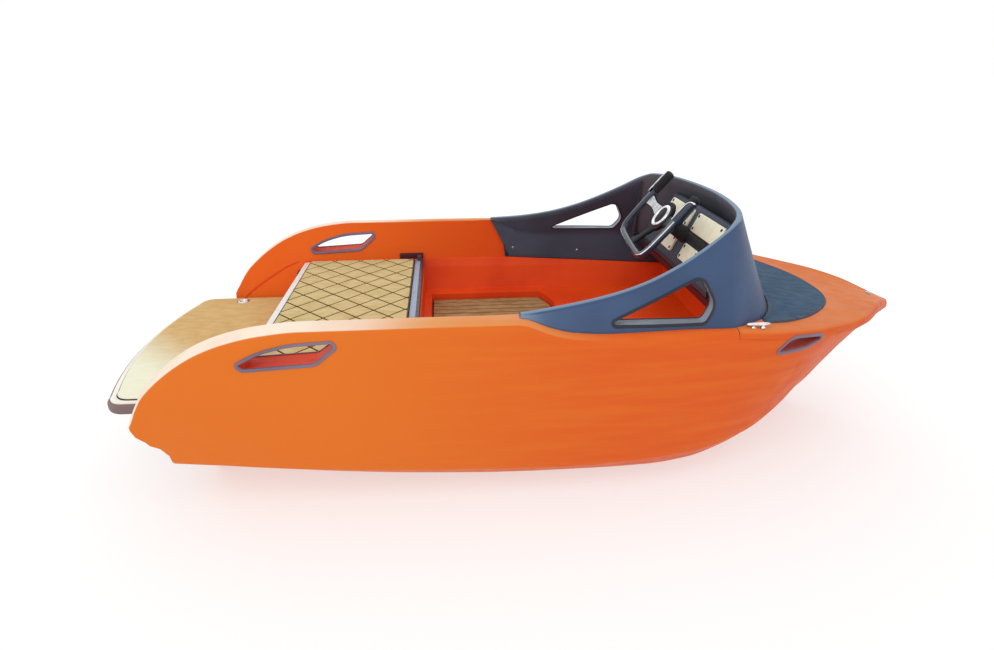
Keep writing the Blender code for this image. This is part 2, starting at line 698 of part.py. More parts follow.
def build_hatch(mats):
    """Bench lid with its pad, seal, hinges and latches."""
    top = LID_Z + LID_T
    lid = box("hatch_lid", (LID_AFT_X, -LID_HALF_Y, LID_Z), (LID_FORE_X, LID_HALF_Y, top), mats["grey"])
    for side, sign in SIDES:
        inner, outer = sorted((sign * (LID_HALF_Y - 0.030), sign * LID_HALF_Y))
        lug = box("lug_" + side, (LID_PIN_X - 0.012, inner, LID_Z + 0.010),
                  (LID_PIN_X + 0.012, outer, LID_PIN_Z + 0.011), cutter=True)
        cut(lid, lug, "UNION")
        pin = cylinder("pin_" + side, (LID_PIN_X, sign * (LID_HALF_Y - 0.015), LID_PIN_Z),
                       (LID_PIN_X, sign * (LID_HALF_Y + 0.0165), LID_PIN_Z), 0.006, cutter=True, segments=12)
        cut(lid, pin, "UNION")
        hinge_y = LID_HALF_Y + 0.017
        low, high = sorted((sign * hinge_y, sign * (wall_y(LEDGE_Z) - GAP)))
        box("hatch_hinge_" + side, (LID_PIN_X - 0.105, low, ledge_z(-0.6) + GAP),
            (LID_PIN_X + 0.018, high, LID_PIN_Z + 0.014), mats["black"])
        latch_low, latch_high = sorted((sign * 0.430, sign * 0.480))
        box("hatch_latch_" + side, (LID_AFT_X - 0.014, latch_low, LID_Z + 0.004),
            (LID_AFT_X - GAP, latch_high, top - 0.004), mats["black"])
    set_origin(lid, (LID_PIN_X, 0.0, LID_PIN_Z))
    box("hatch_pad", (LID_AFT_X + 0.028, -LID_HALF_Y + 0.010, top + GAP),
        (LID_PIN_X - 0.022, LID_HALF_Y - 0.010, top + 0.012), mats["cream"])
    outer = [(BAY_AFT_X - 0.022, -BAY_HALF_Y - 0.022), (BAY_FORE_X + 0.022, -BAY_HALF_Y - 0.022),
             (BAY_FORE_X + 0.022, BAY_HALF_Y + 0.022), (BAY_AFT_X - 0.022, BAY_HALF_Y + 0.022)]
    plate("hatch_gasket", [outer, offset(outer, -0.018)], BENCH_BASE_Z + GAP, LID_Z - GAP, PLAN,
          mats["black"])


def build_footwell_mat(mats):
    """Planked mat on the footwell floor."""
    plate("footwell_mat", [well_outline(WELL_WALL + 0.003)], WELL_FLOOR_Z + GAP, WELL_FLOOR_Z + MAT_T, PLAN,
          mats["cream"])


def cowl_inner_foot_y(row):
    """Half-width of the cowl's inner foot: on the gunwale's inner edge beside the cockpit."""
    return wall_y(sheer_z(row.foot_x))


def cowl_ring(index, sign):
    """Four-sided section of the cowl's wall at a table row, cut through its foot and its rim."""
    row = COWL_ROWS[index]
    rows = COWL_ROWS
    before, after = rows[max(index - 1, 0)], rows[min(index + 1, len(rows) - 1)]
    foot_way = Vector((after.foot_x - before.foot_x, -(after.foot_y - before.foot_y))).normalized()
    rim_way = Vector((after.rim_x - before.rim_x, -(after.rim_y - before.rim_y))).normalized()
    if index == len(rows) - 1:
        foot_way = rim_way = Vector((0.0, 1.0))
    foot_in = Vector((-foot_way.y, foot_way.x)) * COWL_FOOT_T
    rim_in = Vector((-rim_way.y, rim_way.x)) * COWL_RIM_T
    foot_outer = (row.foot_x, -row.foot_y)
    rim_outer = (row.rim_x, -row.rim_y)
    if index < PANEL_ROWS:
        foot_inner = (row.foot_x, -cowl_inner_foot_y(row))
        rim_inner = (row.rim_x, -(row.rim_y - COWL_RIM_T))
    else:
        foot_inner = (foot_outer[0] + foot_in.x, foot_outer[1] + foot_in.y)
        rim_inner = (rim_outer[0] + rim_in.x, rim_outer[1] + rim_in.y)
    flip = -sign
    low_outer = foot_base_z(foot_outer)
    low_inner = foot_base_z(foot_inner)
    drop = min(0.006, 0.3 * (row.rim_z - low_outer))
    return [(foot_outer[0], flip * foot_outer[1], low_outer),
            (rim_outer[0], flip * rim_outer[1], row.rim_z - drop),
            ((rim_outer[0] + rim_inner[0]) / 2, flip * (rim_outer[1] + rim_inner[1]) / 2, row.rim_z),
            (rim_inner[0], flip * rim_inner[1], row.rim_z - drop),
            (foot_inner[0], flip * foot_inner[1], low_inner)]


def foot_base_z(point):
    """Height of what the cowl stands on, sunk a little where the deck under it is crowned."""
    x, y = point
    if x < DECK_AFT_X:
        return sheer_z(x) + GAP
    return deck_z(x, y) - 0.004


def build_cowl(mats):
    """Wrap-round steering cowl with its side windows."""
    count = len(COWL_ROWS)
    rings = [cowl_ring(index, -1.0) for index in range(count)]
    rings += [cowl_ring(index, 1.0) for index in reversed(range(count - 1))]
    cowl = loft("cowl", rings, mats["slate"])
    deck_xs = [0.50, 0.60, DECK_AFT_X - 0.001] + [row.x for row in HULL_STATIONS if row.x > DECK_AFT_X]
    cut(cowl, loft("cut_cowl_foot", [deck_ring(x, GAP, 0.05) for x in deck_xs], cutter=True))
    window = rounded(WINDOW, 0.022)
    for side, sign in SIDES:
        low, high = sorted((sign * 0.50, sign * 0.80))
        hole = plate("cut_window_" + side, [window], low, high, SIDE, cutter=True)
        cut(cowl, hole)
        panel = build_cowl_panel(side, sign, mats)
        cut(panel, hole)
    return cowl


def panel_ring(row, sign):
    """Section of the inner panel: down the cockpit wall, then up the cowl's inner face."""
    low_z = ledge_z(row.foot_x) + 0.003
    knee_z = sheer_z(row.foot_x)
    top_z = row.rim_z - 0.020
    share = (top_z - knee_z) / (row.rim_z - knee_z)
    top_y = cowl_inner_foot_y(row) + (row.rim_y - COWL_RIM_T - cowl_inner_foot_y(row)) * share
    outer = [(wall_y(low_z) - 2 * GAP, low_z), (wall_y(knee_z) - 2 * GAP, knee_z),
             (top_y - PANEL_GAP, max(top_z, knee_z + 0.003))]
    inner = [(y - PANEL_T, z) for y, z in reversed(outer)]
    slant = PANEL_SLANT if row is COWL_ROWS[0] else 0.0
    return [(row.foot_x + slant * (knee_z + 0.003 - z), sign * y, z) for y, z in outer + inner]


def panel_low_ring(x, sign):
    """Section of the inner panel below the dash shelf: only the cockpit wall is covered."""
    low_z, top_z = ledge_z(x) + 0.003, sheer_z(x) - DECK_T - 0.003
    outer = [(wall_y(z) - 2 * GAP, z) for z in (low_z, (low_z + top_z) / 2, top_z)]
    inner = [(y - PANEL_T, z) for y, z in reversed(outer)]
    return [(x, sign * y, z) for y, z in outer + inner]


def build_cowl_panel(side, sign, mats):
    """Dark inner panel screwed over the gunwale's inner wall and the cowl's inner face."""
    rings = [panel_ring(row, sign) for row in COWL_ROWS[:PANEL_ROWS]]
    rings += [panel_low_ring(x, sign) for x in (DECK_AFT_X - 0.004, PANEL_FRONT_X)]
    return loft("cowl_panel_" + side, rings, mats["dark"])


def cowl_outer_y(x, z):
    """Half-breadth of the cowl's outer face beside a window."""
    rows = COWL_ROWS[:PANEL_ROWS]
    xs = [row.foot_x for row in rows]
    foot_y = interpolate(x, xs, [row.foot_y for row in rows])
    rim_y = interpolate(x, xs, [row.rim_y for row in rows])
    rim_z = interpolate(x, xs, [row.rim_z for row in rows])
    foot_z = sheer_z(x)
    share = (z - foot_z) / (rim_z - foot_z)
    return foot_y + (rim_y - foot_y) * share


def cowl_inner_y(x, z):
    """Half-breadth of the inner panel's inner face beside a window."""
    rows = COWL_ROWS[:PANEL_ROWS]
    xs = [row.foot_x for row in rows]
    foot_y = interpolate(x, xs, [cowl_inner_foot_y(row) for row in rows])
    rim_y = interpolate(x, xs, [row.rim_y - COWL_RIM_T for row in rows])
    rim_z = interpolate(x, xs, [row.rim_z for row in rows])
    foot_z = sheer_z(x)
    share = (z - foot_z) / (rim_z - foot_z)
    return foot_y + (rim_y - foot_y) * share - PANEL_T


def sleeve(name, outline, wall, inner_y, outer_y, sign, material):
    """Sleeve that lines a hole: its ends follow the two faces of the wall."""
    small = offset(outline, -wall)
    inner = [(x, sign * inner_y(x, z), z) for x, z in outline]
    outer = [(x, sign * outer_y(x, z), z) for x, z in outline]
    outer_small = [(x, sign * outer_y(x, z), z) for x, z in small]
    inner_small = [(x, sign * inner_y(x, z), z) for x, z in small]
    builder = bmesh.new()
    rings = (inner, outer, outer_small, inner_small)
    loops = [[builder.verts.new(point) for point in ring] for ring in rings]
    count = len(outline)
    for near, far in zip(loops, loops[1:] + loops[:1]):
        for index in range(count):
            after = (index + 1) % count
            builder.faces.new((near[index], near[after], far[after], far[index]))
    bmesh.ops.triangulate(builder, faces=builder.faces)
    return mesh_object(name, builder, material)


def build_trims(mats):
    """Edge trims in the windows, the stern hand slots and the bow hand recesses."""
    window = offset(rounded(WINDOW, 0.022), -GAP)
    slot = offset(rounded(AFT_SLOT, 0.018), -GAP)
    for side, sign in SIDES:
        sleeve("window_trim_" + side, window, 0.005, lambda x, z: cowl_inner_y(x, z) - 0.002,
               lambda x, z: cowl_outer_y(x, z) + 0.003, sign, mats["black"])
        sleeve("handle_trim_aft_" + side, slot, SLOT_TRIM_T, lambda x, z: wall_y(z) - 0.003,
               lambda x, z: wing_outer_y(x, z) + 0.004, sign, mats["rubber"])
        cup = bow_pocket("handle_trim_bow_" + side, sign, -GAP, 0.003, GAP, mats["rubber"], cutter=False)
        cut(cup, bow_pocket("cut_cup_" + side, sign, -BOW_TRIM_T, 0.20, BOW_TRIM_T))


def wing_outer_y(x, z):
    """Half-breadth of the outer face of the stern wing above the middle of the hull's side."""
    chine_y = interpolate(x, STATION_X, [station.chine_y for station in HULL_STATIONS])
    chine_z = interpolate(x, STATION_X, [station.chine_z for station in HULL_STATIONS])
    middle_y = chine_y + side_bulge(x) * (sheer_y(x) - chine_y)
    middle_z = (chine_z + sheer_z(x)) / 2
    edge_z = sheer_z(x) - GUNWALE_RADIUS
    share = (z - middle_z) / (edge_z - middle_z)
    return middle_y + (sheer_y(x) - middle_y) * share


def build_foredeck_pad(mats):
    """Tongue-shaped pad on the foredeck, cut to the deck's surface."""
    outline = mirrored([(0.760, 0.0), (0.760, 0.600), *PAD_HALF])
    blank = plate("foredeck_pad", [outline], 0.57, 0.74, PLAN, mats["slate"])
    xs = [DECK_AFT_X + GAP] + [row.x for row in HULL_STATIONS if row.x > DECK_AFT_X]
    under = loft("cut_pad_under", [deck_ring(x, GAP, 0.05) for x in xs], cutter=True)
    over = loft("pad_thickness", [deck_ring(x, 0.008) for x in xs], cutter=True)
    cut(blank, over, "INTERSECT")
    cut(blank, under)
    rows = COWL_ROWS[PANEL_ROWS:]
    foot = [(row.foot_x + 0.004, row.foot_y + 0.004) for row in rows]
    behind = [(0.55, 0.0), (0.55, 0.75)] + foot
    cut(blank, plate("cut_pad_aft", [mirrored(behind)], 0.50, 0.80, PLAN, cutter=True))
    return blank


def build_dash(mats):
    """Dash block on the deck's shelf with its cream pads and the steering column."""
    rings = [[(x, sign * y, z) for x, y, z in DASH_PROFILE] for sign in (1.0, -1.0)]
    dash = loft("dash_console", rings, mats["dark"])
    cut(dash, box("cut_dash_aft", (0.50, -0.60, 0.60), (DECK_AFT_X + 0.001, 0.60, 0.712), cutter=True))
    xs = [DECK_AFT_X - 0.001] + [row.x for row in HULL_STATIONS if DECK_AFT_X < row.x < 1.1]
    cut(dash, loft("cut_dash_foot", [deck_ring(x, GAP, 0.05) for x in xs], cutter=True))
    face_start = Vector((DASH_PROFILE[1][0], 0.0, DASH_PROFILE[1][2]))
    face_end = Vector((DASH_PROFILE[2][0], 0.0, DASH_PROFILE[2][2]))
    along = (face_end - face_start).normalized()
    out = Vector((-along.z, 0.0, along.x))
    for side, sign in SIDES:
        for pad in DASH_PADS:
            corners = ((pad.inner, pad.low), (pad.outer, pad.low),
                       (pad.outer - 0.02, pad.high), (pad.inner, pad.high))
            rings = []
            for height in (GAP, DASH_PAD_T):
                rings.append([face_start + along * up + out * height + Vector((0.0, sign * across, 0.0))
                              for across, up in corners])
            loft("dash_pad_" + pad.level + "_" + side, rings, mats["ivory"])
    hub = Vector(WHEEL_CENTRE)
    axis = wheel_axis()
    face_point = (face_start - hub).dot(out) / axis.dot(out)
    column = cylinder("steering_column", hub + axis * (HUB_BACK - GAP), hub + axis * (face_point - 0.030),
                      COLUMN_R, mats["black"])
    behind = 0.90
    block = [(face_start.x - 0.0004, face_start.z), (face_end.x - 0.0004, face_end.z),
             (behind, face_end.z), (behind, face_start.z)]
    cut(column, plate("cut_column", [block], -0.2, 0.2, SIDE, cutter=True))
    return dash


def wheel_axis():
    """Steering axis, pointing aft and up out of the wheel's face."""
    return Vector((-math.sin(WHEEL_TILT), 0.0, math.cos(WHEEL_TILT)))


def wheel_point(across, up, out=0.0):
    """Point in the wheel's plane, across to port, up along it and out of its face."""
    axis = wheel_axis()
    rise = Vector((math.cos(WHEEL_TILT), 0.0, math.sin(WHEEL_TILT)))
    return Vector(WHEEL_CENTRE) + rise * up + Vector((0.0, across, 0.0)) + axis * out


def build_wheel(mats):
    """Yoke with an open top: rim, spokes, hub, grips and a bright ring."""
    rim_path = [wheel_point(across, up, WHEEL_DISH) for across, up in YOKE_HALF]
    rim_path += [wheel_point(-across, up, WHEEL_DISH) for across, up in reversed(YOKE_HALF)]
    frame = tube("yoke_frame", rim_path, WHEEL_TUBE_R, mats["black"])
    hub = wheel_point(0, 0)
    disc = cylinder("hub", wheel_point(0, 0, HUB_BACK), wheel_point(0, 0, HUB_FRONT), HUB_R, cutter=True)
    cut(frame, disc, "UNION")
    for index, (start, end) in enumerate(YOKE_SPOKES):
        root, tip = wheel_point(*start, SPOKE_ROOT_OUT), wheel_point(*end, WHEEL_DISH)
        bar = cylinder("spoke_%d" % index, root, tip, SPOKE_R, cutter=True, segments=12)
        cut(frame, bar, "UNION")
    set_origin(frame, hub)
    for side, sign in SIDES:
        start, end = [wheel_point(sign * across, up, WHEEL_DISH) for across, up in GRIP_ENDS]
        grip = cylinder("yoke_grip_" + side, start, end, GRIP_R, mats["black"], segments=16)
        set_origin(grip, hub)
    ring = [(0.051, 0.0), (0.051, 0.006), (0.043, 0.010), (0.034, 0.006), (0.034, 0.0)]
    turned("hub_ring", ring, wheel_point(0, 0, HUB_FRONT + GAP), wheel_axis(), mats["chrome"])


def build_fittings(mats):
    """Cleats, deck eye and drain plug."""
    for side, sign in SIDES:
        x, y = 0.707, sign * 0.652
        base = deck_z(x, y) + 0.001
        bar = cylinder("cleat_" + side, (x - 0.045, y, base + 0.013), (x + 0.045, y, base + 0.013), 0.007,
                       mats["chrome"], segments=12)
        for index, shift in enumerate((-0.018, 0.018)):
            post = cylinder("post_%s_%d" % (side, index), (x + shift, y, base - 0.010),
                            (x + shift, y, base + 0.012), 0.0062, cutter=True, segments=12)
            cut(bar, post, "UNION")
        xs = (0.62, 0.78, 0.95)
        cut(bar, loft("cut_cleat_" + side, [deck_ring(value, GAP, 0.05) for value in xs], cutter=True))
    eye_x = 1.585
    turned("deck_eye", [(0.014, 0.0), (0.014, 0.005), (0.010, 0.008), (0.006, 0.006), (0.006, 0.0)],
           (eye_x, 0.0, deck_z(eye_x, 0.0) + 0.0012), (0.276, 0, 0.961), mats["steel"])
    plug_y = 0.250
    turned("drain_plug", [(0.020, 0.0), (0.020, 0.006), (0.012, 0.012), (0.004, 0.012), (0.004, 0.0)],
           (TRANSOM_X - GAP, plug_y, 0.080), (-1, 0, 0), mats["black"])


def build_drive(mats):
    """Engine block and the jet drive under the stern."""
    box("engine_block", (-1.000, -0.160, BAY_FLOOR_Z + GAP), (-0.660, 0.160, 0.500), mats["alloy"])

    front, end = PUMP_FRONT_X - GAP, PUMP_END_X
    outer, bore = PUMP_OUTER_R, PUMP_BORE_R
    profile = [(bore, 0.0), (outer + 0.018, 0.0), (outer + 0.018, 0.012), (outer, 0.012), (outer, 0.170),
               (0.074, front - end), (0.064, front - end), (bore, 0.170)]
    pump = turned("jet_pump", profile, (front, 0.0, PUMP_Z), (-1, 0, 0), mats["alloy"], steps=32)
    core = cylinder("pump_core", (end + 0.004, 0, PUMP_Z), (IMPELLER_AFT_X - GAP, 0, PUMP_Z), 0.014,
                    cutter=True, end_radius=0.026)
    cut(pump, core, "UNION")
    for index in range(4):
        angle = math.radians(45 + 90 * index)
        way = Vector((0.0, math.cos(angle), math.sin(angle)))
        aft, fore = end + 0.030, end + 0.085
        vane_points = ((aft, 0.010), (fore, 0.010), (fore, 0.081), (aft, 0.075))
        side = Vector((0.0, -way.z, way.y)) * 0.002
        rings = [[Vector((x, 0.0, PUMP_Z)) + way * r + side * s for x, r in vane_points] for s in (-1, 1)]
        cut(pump, loft("vane_%d" % index, rings, cutter=True), "UNION")
    for name, sign in (("upper", 1.0), ("lower", -1.0)):
        low, high = sorted((PUMP_Z + sign * 0.0700, PUMP_Z + sign * 0.0760))
        ear = box("pump_ear_" + name, (NOZZLE_PIVOT_X - 0.010, -0.012, low), (end + 0.030, 0.012, high),
                  cutter=True)
        cut(pump, ear, "UNION")

    impeller = cylinder("impeller", (-1.200, 0, PUMP_Z), (IMPELLER_AFT_X, 0, PUMP_Z), 0.020, mats["steel"],
                        end_radius=0.025)
    cut(impeller, cylinder("impeller_nose", (-1.160, 0, PUMP_Z), (-1.205, 0, PUMP_Z), 0.006, cutter=True,
                           end_radius=0.019), "UNION")
    for index in range(4):
        cut(impeller, loft("blade_%d" % index, blade_rings(math.radians(90 * index)), cutter=True), "UNION")
    set_origin(impeller, (-1.245, 0.0, PUMP_Z))

    nozzle_front = NOZZLE_PIVOT_X - 0.016
    nozzle_profile = [(0.060, 0.0), (0.070, 0.0), (0.060, 0.095), (0.052, 0.095)]
    nozzle = turned("jet_nozzle", nozzle_profile, (nozzle_front, 0, PUMP_Z), (-1, 0, 0), mats["alloy"])
    for name, sign in (("upper", 1.0), ("lower", -1.0)):
        low, high = sorted((PUMP_Z + sign * 0.0765, PUMP_Z + sign * 0.0825))
        ear = box("nozzle_ear_" + name, (nozzle_front - 0.030, -0.012, low),
                  (NOZZLE_PIVOT_X + 0.010, 0.012, high), cutter=True)
        web_low, web_high = sorted((PUMP_Z + sign * 0.0600, PUMP_Z + sign * 0.0800))
        web = box("nozzle_web_" + name, (nozzle_front - 0.030, -0.012, web_low),
                  (nozzle_front - 0.006, 0.012, web_high), cutter=True)
        cut(nozzle, ear, "UNION")
        cut(nozzle, web, "UNION")
    for side, sign in SIDES:
        pin = cylinder("nozzle_pin_" + side, (BUCKET_PIVOT_X, sign * 0.054, PUMP_Z),
                       (BUCKET_PIVOT_X, sign * 0.0747, PUMP_Z), 0.006, cutter=True, segments=12)
        cut(nozzle, pin, "UNION")
    set_origin(nozzle, (NOZZLE_PIVOT_X, 0.0, PUMP_Z))

    set_origin(build_bucket(mats), (BUCKET_PIVOT_X, 0.0, PUMP_Z))
    build_keel_plates(mats)


def blade_rings(start):
    """Twisted blade of the impeller from its hub to its tip."""
    rings = []
    for radius, sweep in ((0.015, 0.55), (0.042, 0.50), (IMPELLER_R, 0.45)):
        ring = []
        for x, share, thick in ((-1.212, -0.5, -0.0015), (-1.282, 0.5, -0.0015), (-1.282, 0.5, 0.0015),
                                (-1.212, -0.5, 0.0015)):
            angle = start + share * 2 * sweep + thick / radius
            ring.append((x, radius * math.cos(angle), PUMP_Z + radius * math.sin(angle)))
        rings.append(ring)
    return rings


def build_bucket(mats):
    """Reverse bucket, stowed above the nozzle on two side arms."""
    low_r, high_r = 0.106, 0.112
    angles = [math.radians(value) for value in (38, 50, 62, 74, 86)]
    outer = [(BUCKET_PIVOT_X - high_r * math.cos(a), PUMP_Z + high_r * math.sin(a)) for a in angles]
    inner = [(BUCKET_PIVOT_X - low_r * math.cos(a), PUMP_Z + low_r * math.sin(a)) for a in reversed(angles)]
    bucket = plate("reverse_bucket", [outer + inner], -0.084, 0.084, SIDE, mats["alloy"])
    for side, sign in SIDES:
        arm = [(BUCKET_PIVOT_X - 0.012, PUMP_Z - 0.012), (BUCKET_PIVOT_X + 0.012, PUMP_Z - 0.012),
               (BUCKET_PIVOT_X + 0.006, PUMP_Z + high_r - 0.002), (BUCKET_PIVOT_X - 0.076, PUMP_Z + 0.076)]
        low, high = sorted((sign * 0.0750, sign * 0.0810))
        cut(bucket, plate("bucket_arm_" + side, [arm], low, high, SIDE, cutter=True), "UNION")
    return bucket


def build_keel_plates(mats):
    """Intake grate and ride plate in the keel recess."""
    low, high = PLATE_Z, PLATE_Z + PLATE_T
    ride = box("ride_plate", (TRANSOM_X, -0.124, low), (-1.090, 0.124, high), mats["alloy"])
    outer = [(-1.088, -0.105), (-0.758, -0.105), (-0.758, 0.105), (-1.088, 0.105)]
    slots = []
    for index in range(5):
        y = -0.060 + 0.030 * index
        slots.append([(-1.050, y - 0.010), (-0.800, y - 0.010), (-0.800, y + 0.010), (-1.050, y + 0.010)])
    plate("intake_grate", [outer] + slots, low, high, PLAN, mats["steel"])
    return ride


def main():
    """Build every piece of the boat."""
    reset_scene()
    mats = make_materials()
    build_hull(mats)
    build_foredeck(mats)
    build_cockpit_liner(mats)
    build_footwell_mat(mats)
    build_platform(mats)
    build_hatch(mats)
    build_cowl(mats)
    build_trims(mats)
    build_foredeck_pad(mats)
    build_dash(mats)
    build_wheel(mats)
    build_fittings(mats)
    build_drive(mats)
    for name in (ASSEMBLY, CUTTERS):
        for obj in bpy.data.collections[name].objects:
            obj.location.x += DATUM_SHIFT


main()
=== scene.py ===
"""Dressed model of a small inshore rescue boat: orange moulded hull, slate cowl, cream foam decking and a yoke.

Every x in the tables counts from the drawing's datum, which lies DATUM metres ahead of the frame's origin.
"""
import logging
import math
from dataclasses import dataclass, field
from enum import Enum
from functools import cached_property
from typing import Callable, Sequence

import bmesh
import bpy
import numpy as np
from mathutils import Matrix, Vector


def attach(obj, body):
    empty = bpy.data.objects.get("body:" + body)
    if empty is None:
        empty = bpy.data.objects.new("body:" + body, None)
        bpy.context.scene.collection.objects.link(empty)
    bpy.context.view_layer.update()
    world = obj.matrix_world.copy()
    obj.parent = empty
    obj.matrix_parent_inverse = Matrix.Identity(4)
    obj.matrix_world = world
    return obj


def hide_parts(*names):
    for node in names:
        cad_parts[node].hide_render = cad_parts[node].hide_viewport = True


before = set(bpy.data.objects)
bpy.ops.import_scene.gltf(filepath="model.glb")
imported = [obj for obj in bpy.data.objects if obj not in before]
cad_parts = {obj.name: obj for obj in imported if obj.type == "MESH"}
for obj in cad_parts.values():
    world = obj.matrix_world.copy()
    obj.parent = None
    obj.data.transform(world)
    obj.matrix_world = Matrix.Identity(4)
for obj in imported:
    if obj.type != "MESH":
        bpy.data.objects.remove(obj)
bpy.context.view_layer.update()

log = logging.getLogger("rescue_boat")

# Place of the datum, gap between pieces that touch, and distance at which points merge, in metres
DATUM = 0.04
GAP = 0.0003
WELD = 1e-5
# Sharpest bend that is shaded smooth, in degrees
SMOOTH = 35.0
SEED = 11

ACROSS = np.array([0.0, 1.0, 0.0])
UP = np.array([0.0, 0.0, 1.0])

Array = np.ndarray
Colour = tuple[float, float, float]
Object, Material, Socket = bpy.types.Object, bpy.types.Material, bpy.types.NodeSocket
Value = Socket | float | Colour


class Side(Enum):
    """Side of the boat, with the sign of its y."""

    PORT = 1.0
    STARBOARD = -1.0

    @property
    def label(self) -> str:
        """Name used in the names of pieces."""
        return self.name.lower()


class View(Enum):
    """Plane in which a flat outline is drawn."""

    PLAN = "x and y"
    PROFILE = "x and z"


def rgb(red: float, green: float, blue: float) -> Colour:
    """Linear colour of a display colour from 0 to 255.

    Args:
        red, green, blue: the display colour's channels.

    Returns:
        The channels to the power 2.2, from 0 to 1.
    """
    return tuple((channel / 255.0) ** 2.2 for channel in (red, green, blue))


def pchip(x: Array, xs: Array, ys: Array) -> Array:
    """Monotone cubic through points: Hermite pieces whose slope is the harmonic mean of the two chords beside
    a point, and zero where the chords change sign.

    Args:
        x: places to read.
        xs: rising places of the points.
        ys: values at the points.

    Returns:
        The values at x, held constant beyond the ends.
    """
    x, xs, ys = np.asarray(x, float), np.asarray(xs, float), np.asarray(ys, float)
    step = np.diff(xs)
    chord = np.diff(ys) / step
    near, far = 2 * step[1:] + step[:-1], step[1:] + 2 * step[:-1]
    with np.errstate(divide="ignore", invalid="ignore"):
        mean = (near + far) / (near / chord[:-1] + far / chord[1:])
    inner = np.where(chord[:-1] * chord[1:] > 0, mean, 0.0)
    slope = np.concatenate([chord[:1], inner, chord[-1:]])
    i = np.clip(np.searchsorted(xs, x, side="right") - 1, 0, len(xs) - 2)
    t = np.clip((x - xs[i]) / step[i], 0.0, 1.0)
    ends = ys[i] * (1 + 2 * t) * (1 - t) ** 2 + ys[i + 1] * t * t * (3 - 2 * t)
    return ends + step[i] * t * (1 - t) * (slope[i] * (1 - t) - slope[i + 1] * t)


def rounded(outline: Sequence, radius: float | Sequence[float], steps: int = 8) -> Array:
    """Closed outline with round corners. An arc touches both sides of its corner at radius over the tangent of
    half the angle, and its points are unit spokes between the arc's ends, times the radius.

    Args:
        outline: corners in order.
        radius: radius of every corner or one for each, less where a side is short.
        steps: spans in each arc.

    Returns:
        The rounded outline's points.
    """
    corner = np.asarray(outline, float)
    back, ahead = np.roll(corner, 1, 0) - corner, np.roll(corner, -1, 0) - corner
    back_length, ahead_length = np.linalg.norm(back, axis=1), np.linalg.norm(ahead, axis=1)
    back, ahead = back / back_length[:, None], ahead / ahead_length[:, None]
    half = np.arccos(np.clip((back * ahead).sum(1), -0.9999999, 1.0)) / 2
    reach = np.minimum(np.asarray(radius) / np.tan(half), 0.48 * np.minimum(back_length, ahead_length))
    arc = reach * np.tan(half)
    middle = back + ahead
    middle /= np.maximum(np.linalg.norm(middle, axis=1), 1e-9)[:, None]
    centre = corner + middle * (arc / np.sin(half))[:, None]
    start, end = corner + back * reach[:, None] - centre, corner + ahead * reach[:, None] - centre
    share = np.linspace(0.0, 1.0, steps + 1)[None, :, None]
    spoke = start[:, None] * (1 - share) + end[:, None] * share
    spoke *= (arc[:, None] / np.maximum(np.linalg.norm(spoke, axis=2), 1e-12))[..., None]
    return (centre[:, None] + spoke).reshape(-1, 2)


def resampled(outline: Array, spacing: float) -> Array:
    """Closed outline with evenly spaced points, read along its length.

    Args:
        outline: the outline's points.
        spacing: distance between the new points.

    Returns:
        The new points.
    """
    closed = np.vstack([outline, outline[:1]])
    length = np.concatenate([[0.0], np.cumsum(np.linalg.norm(np.diff(closed, axis=0), axis=1))])
    count = max(8, int(round(length[-1] / spacing)))
    at = np.linspace(0.0, length[-1], count, endpoint=False)
    return np.stack([np.interp(at, length, closed[:, k]) for k in (0, 1)], 1)


def outward(outline: Array) -> Array:
    """Unit normals that point out of a closed outline: its central differences, turned a quarter.

    Args:
        outline: evenly spaced points.

    Returns:
        One normal for each point.
    """
    tangent = np.roll(outline, -1, 0) - np.roll(outline, 1, 0)
    tangent /= np.maximum(np.linalg.norm(tangent, axis=1), 1e-9)[:, None]
    after = np.roll(outline, -1, 0)
    area = (outline[:, 0] * after[:, 1] - after[:, 0] * outline[:, 1]).sum()
    return np.sign(area) * np.stack([tangent[:, 1], -tangent[:, 0]], 1)


def unit(vectors: Array) -> Array:
    """Vectors of length one along the last axis."""
    return vectors / np.maximum(np.linalg.norm(vectors, axis=-1, keepdims=True), 1e-9)


def linked(name: str, data: bpy.types.ID, *materials: Material) -> Object:
    """Object of a mesh, lamp or camera, linked to the scene with its materials.

    Args:
        name: name of the object.
        data: its mesh, lamp or camera.
        materials: a mesh's materials in order.

    Returns:
        The object.
    """
    obj = bpy.data.objects.new(name, data)
    bpy.context.scene.collection.objects.link(obj)
    for material in materials:
        data.materials.append(material)
    return obj


def bake_modifiers(obj: Object) -> None:
    """Turn an object's modifiers into its mesh.

    Args:
        obj: the object.
    """
    bpy.context.view_layer.update()
    graph = bpy.context.evaluated_depsgraph_get()
    mesh = bpy.data.meshes.new_from_object(obj.evaluated_get(graph))
    old = obj.data
    obj.modifiers.clear()
    obj.data = mesh
    bpy.data.meshes.remove(old)


def carve(obj: Object, cutters: Sequence[Object]) -> None:
    """Cut solids out of an object and remove them.

    Args:
        obj: object that is cut.
        cutters: closed solids in the scene.
    """
    for cutter in cutters:
        modifier = obj.modifiers.new("cut", "BOOLEAN")
        modifier.solver = "EXACT"
        modifier.object = cutter
    bake_modifiers(obj)
    for cutter in cutters:
        bpy.data.objects.remove(cutter, do_unlink=True)


def bevel(obj: Object, width: float, segments: int = 3, angle: float = 30.0) -> None:
    """Round an object's sharp edges.

    Args:
        obj: object to round.
        width: width of the rounding in metres.
        segments: spans across it.
        angle: edges that bend less stay as they are, in degrees.
    """
    modifier = obj.modifiers.new("round", "BEVEL")
    modifier.width = width
    modifier.segments = segments
    modifier.limit_method = "ANGLE"
    modifier.angle_limit = math.radians(angle)
    modifier.use_clamp_overlap = True
    modifier.miter_outer = "MITER_ARC"
    bake_modifiers(obj)


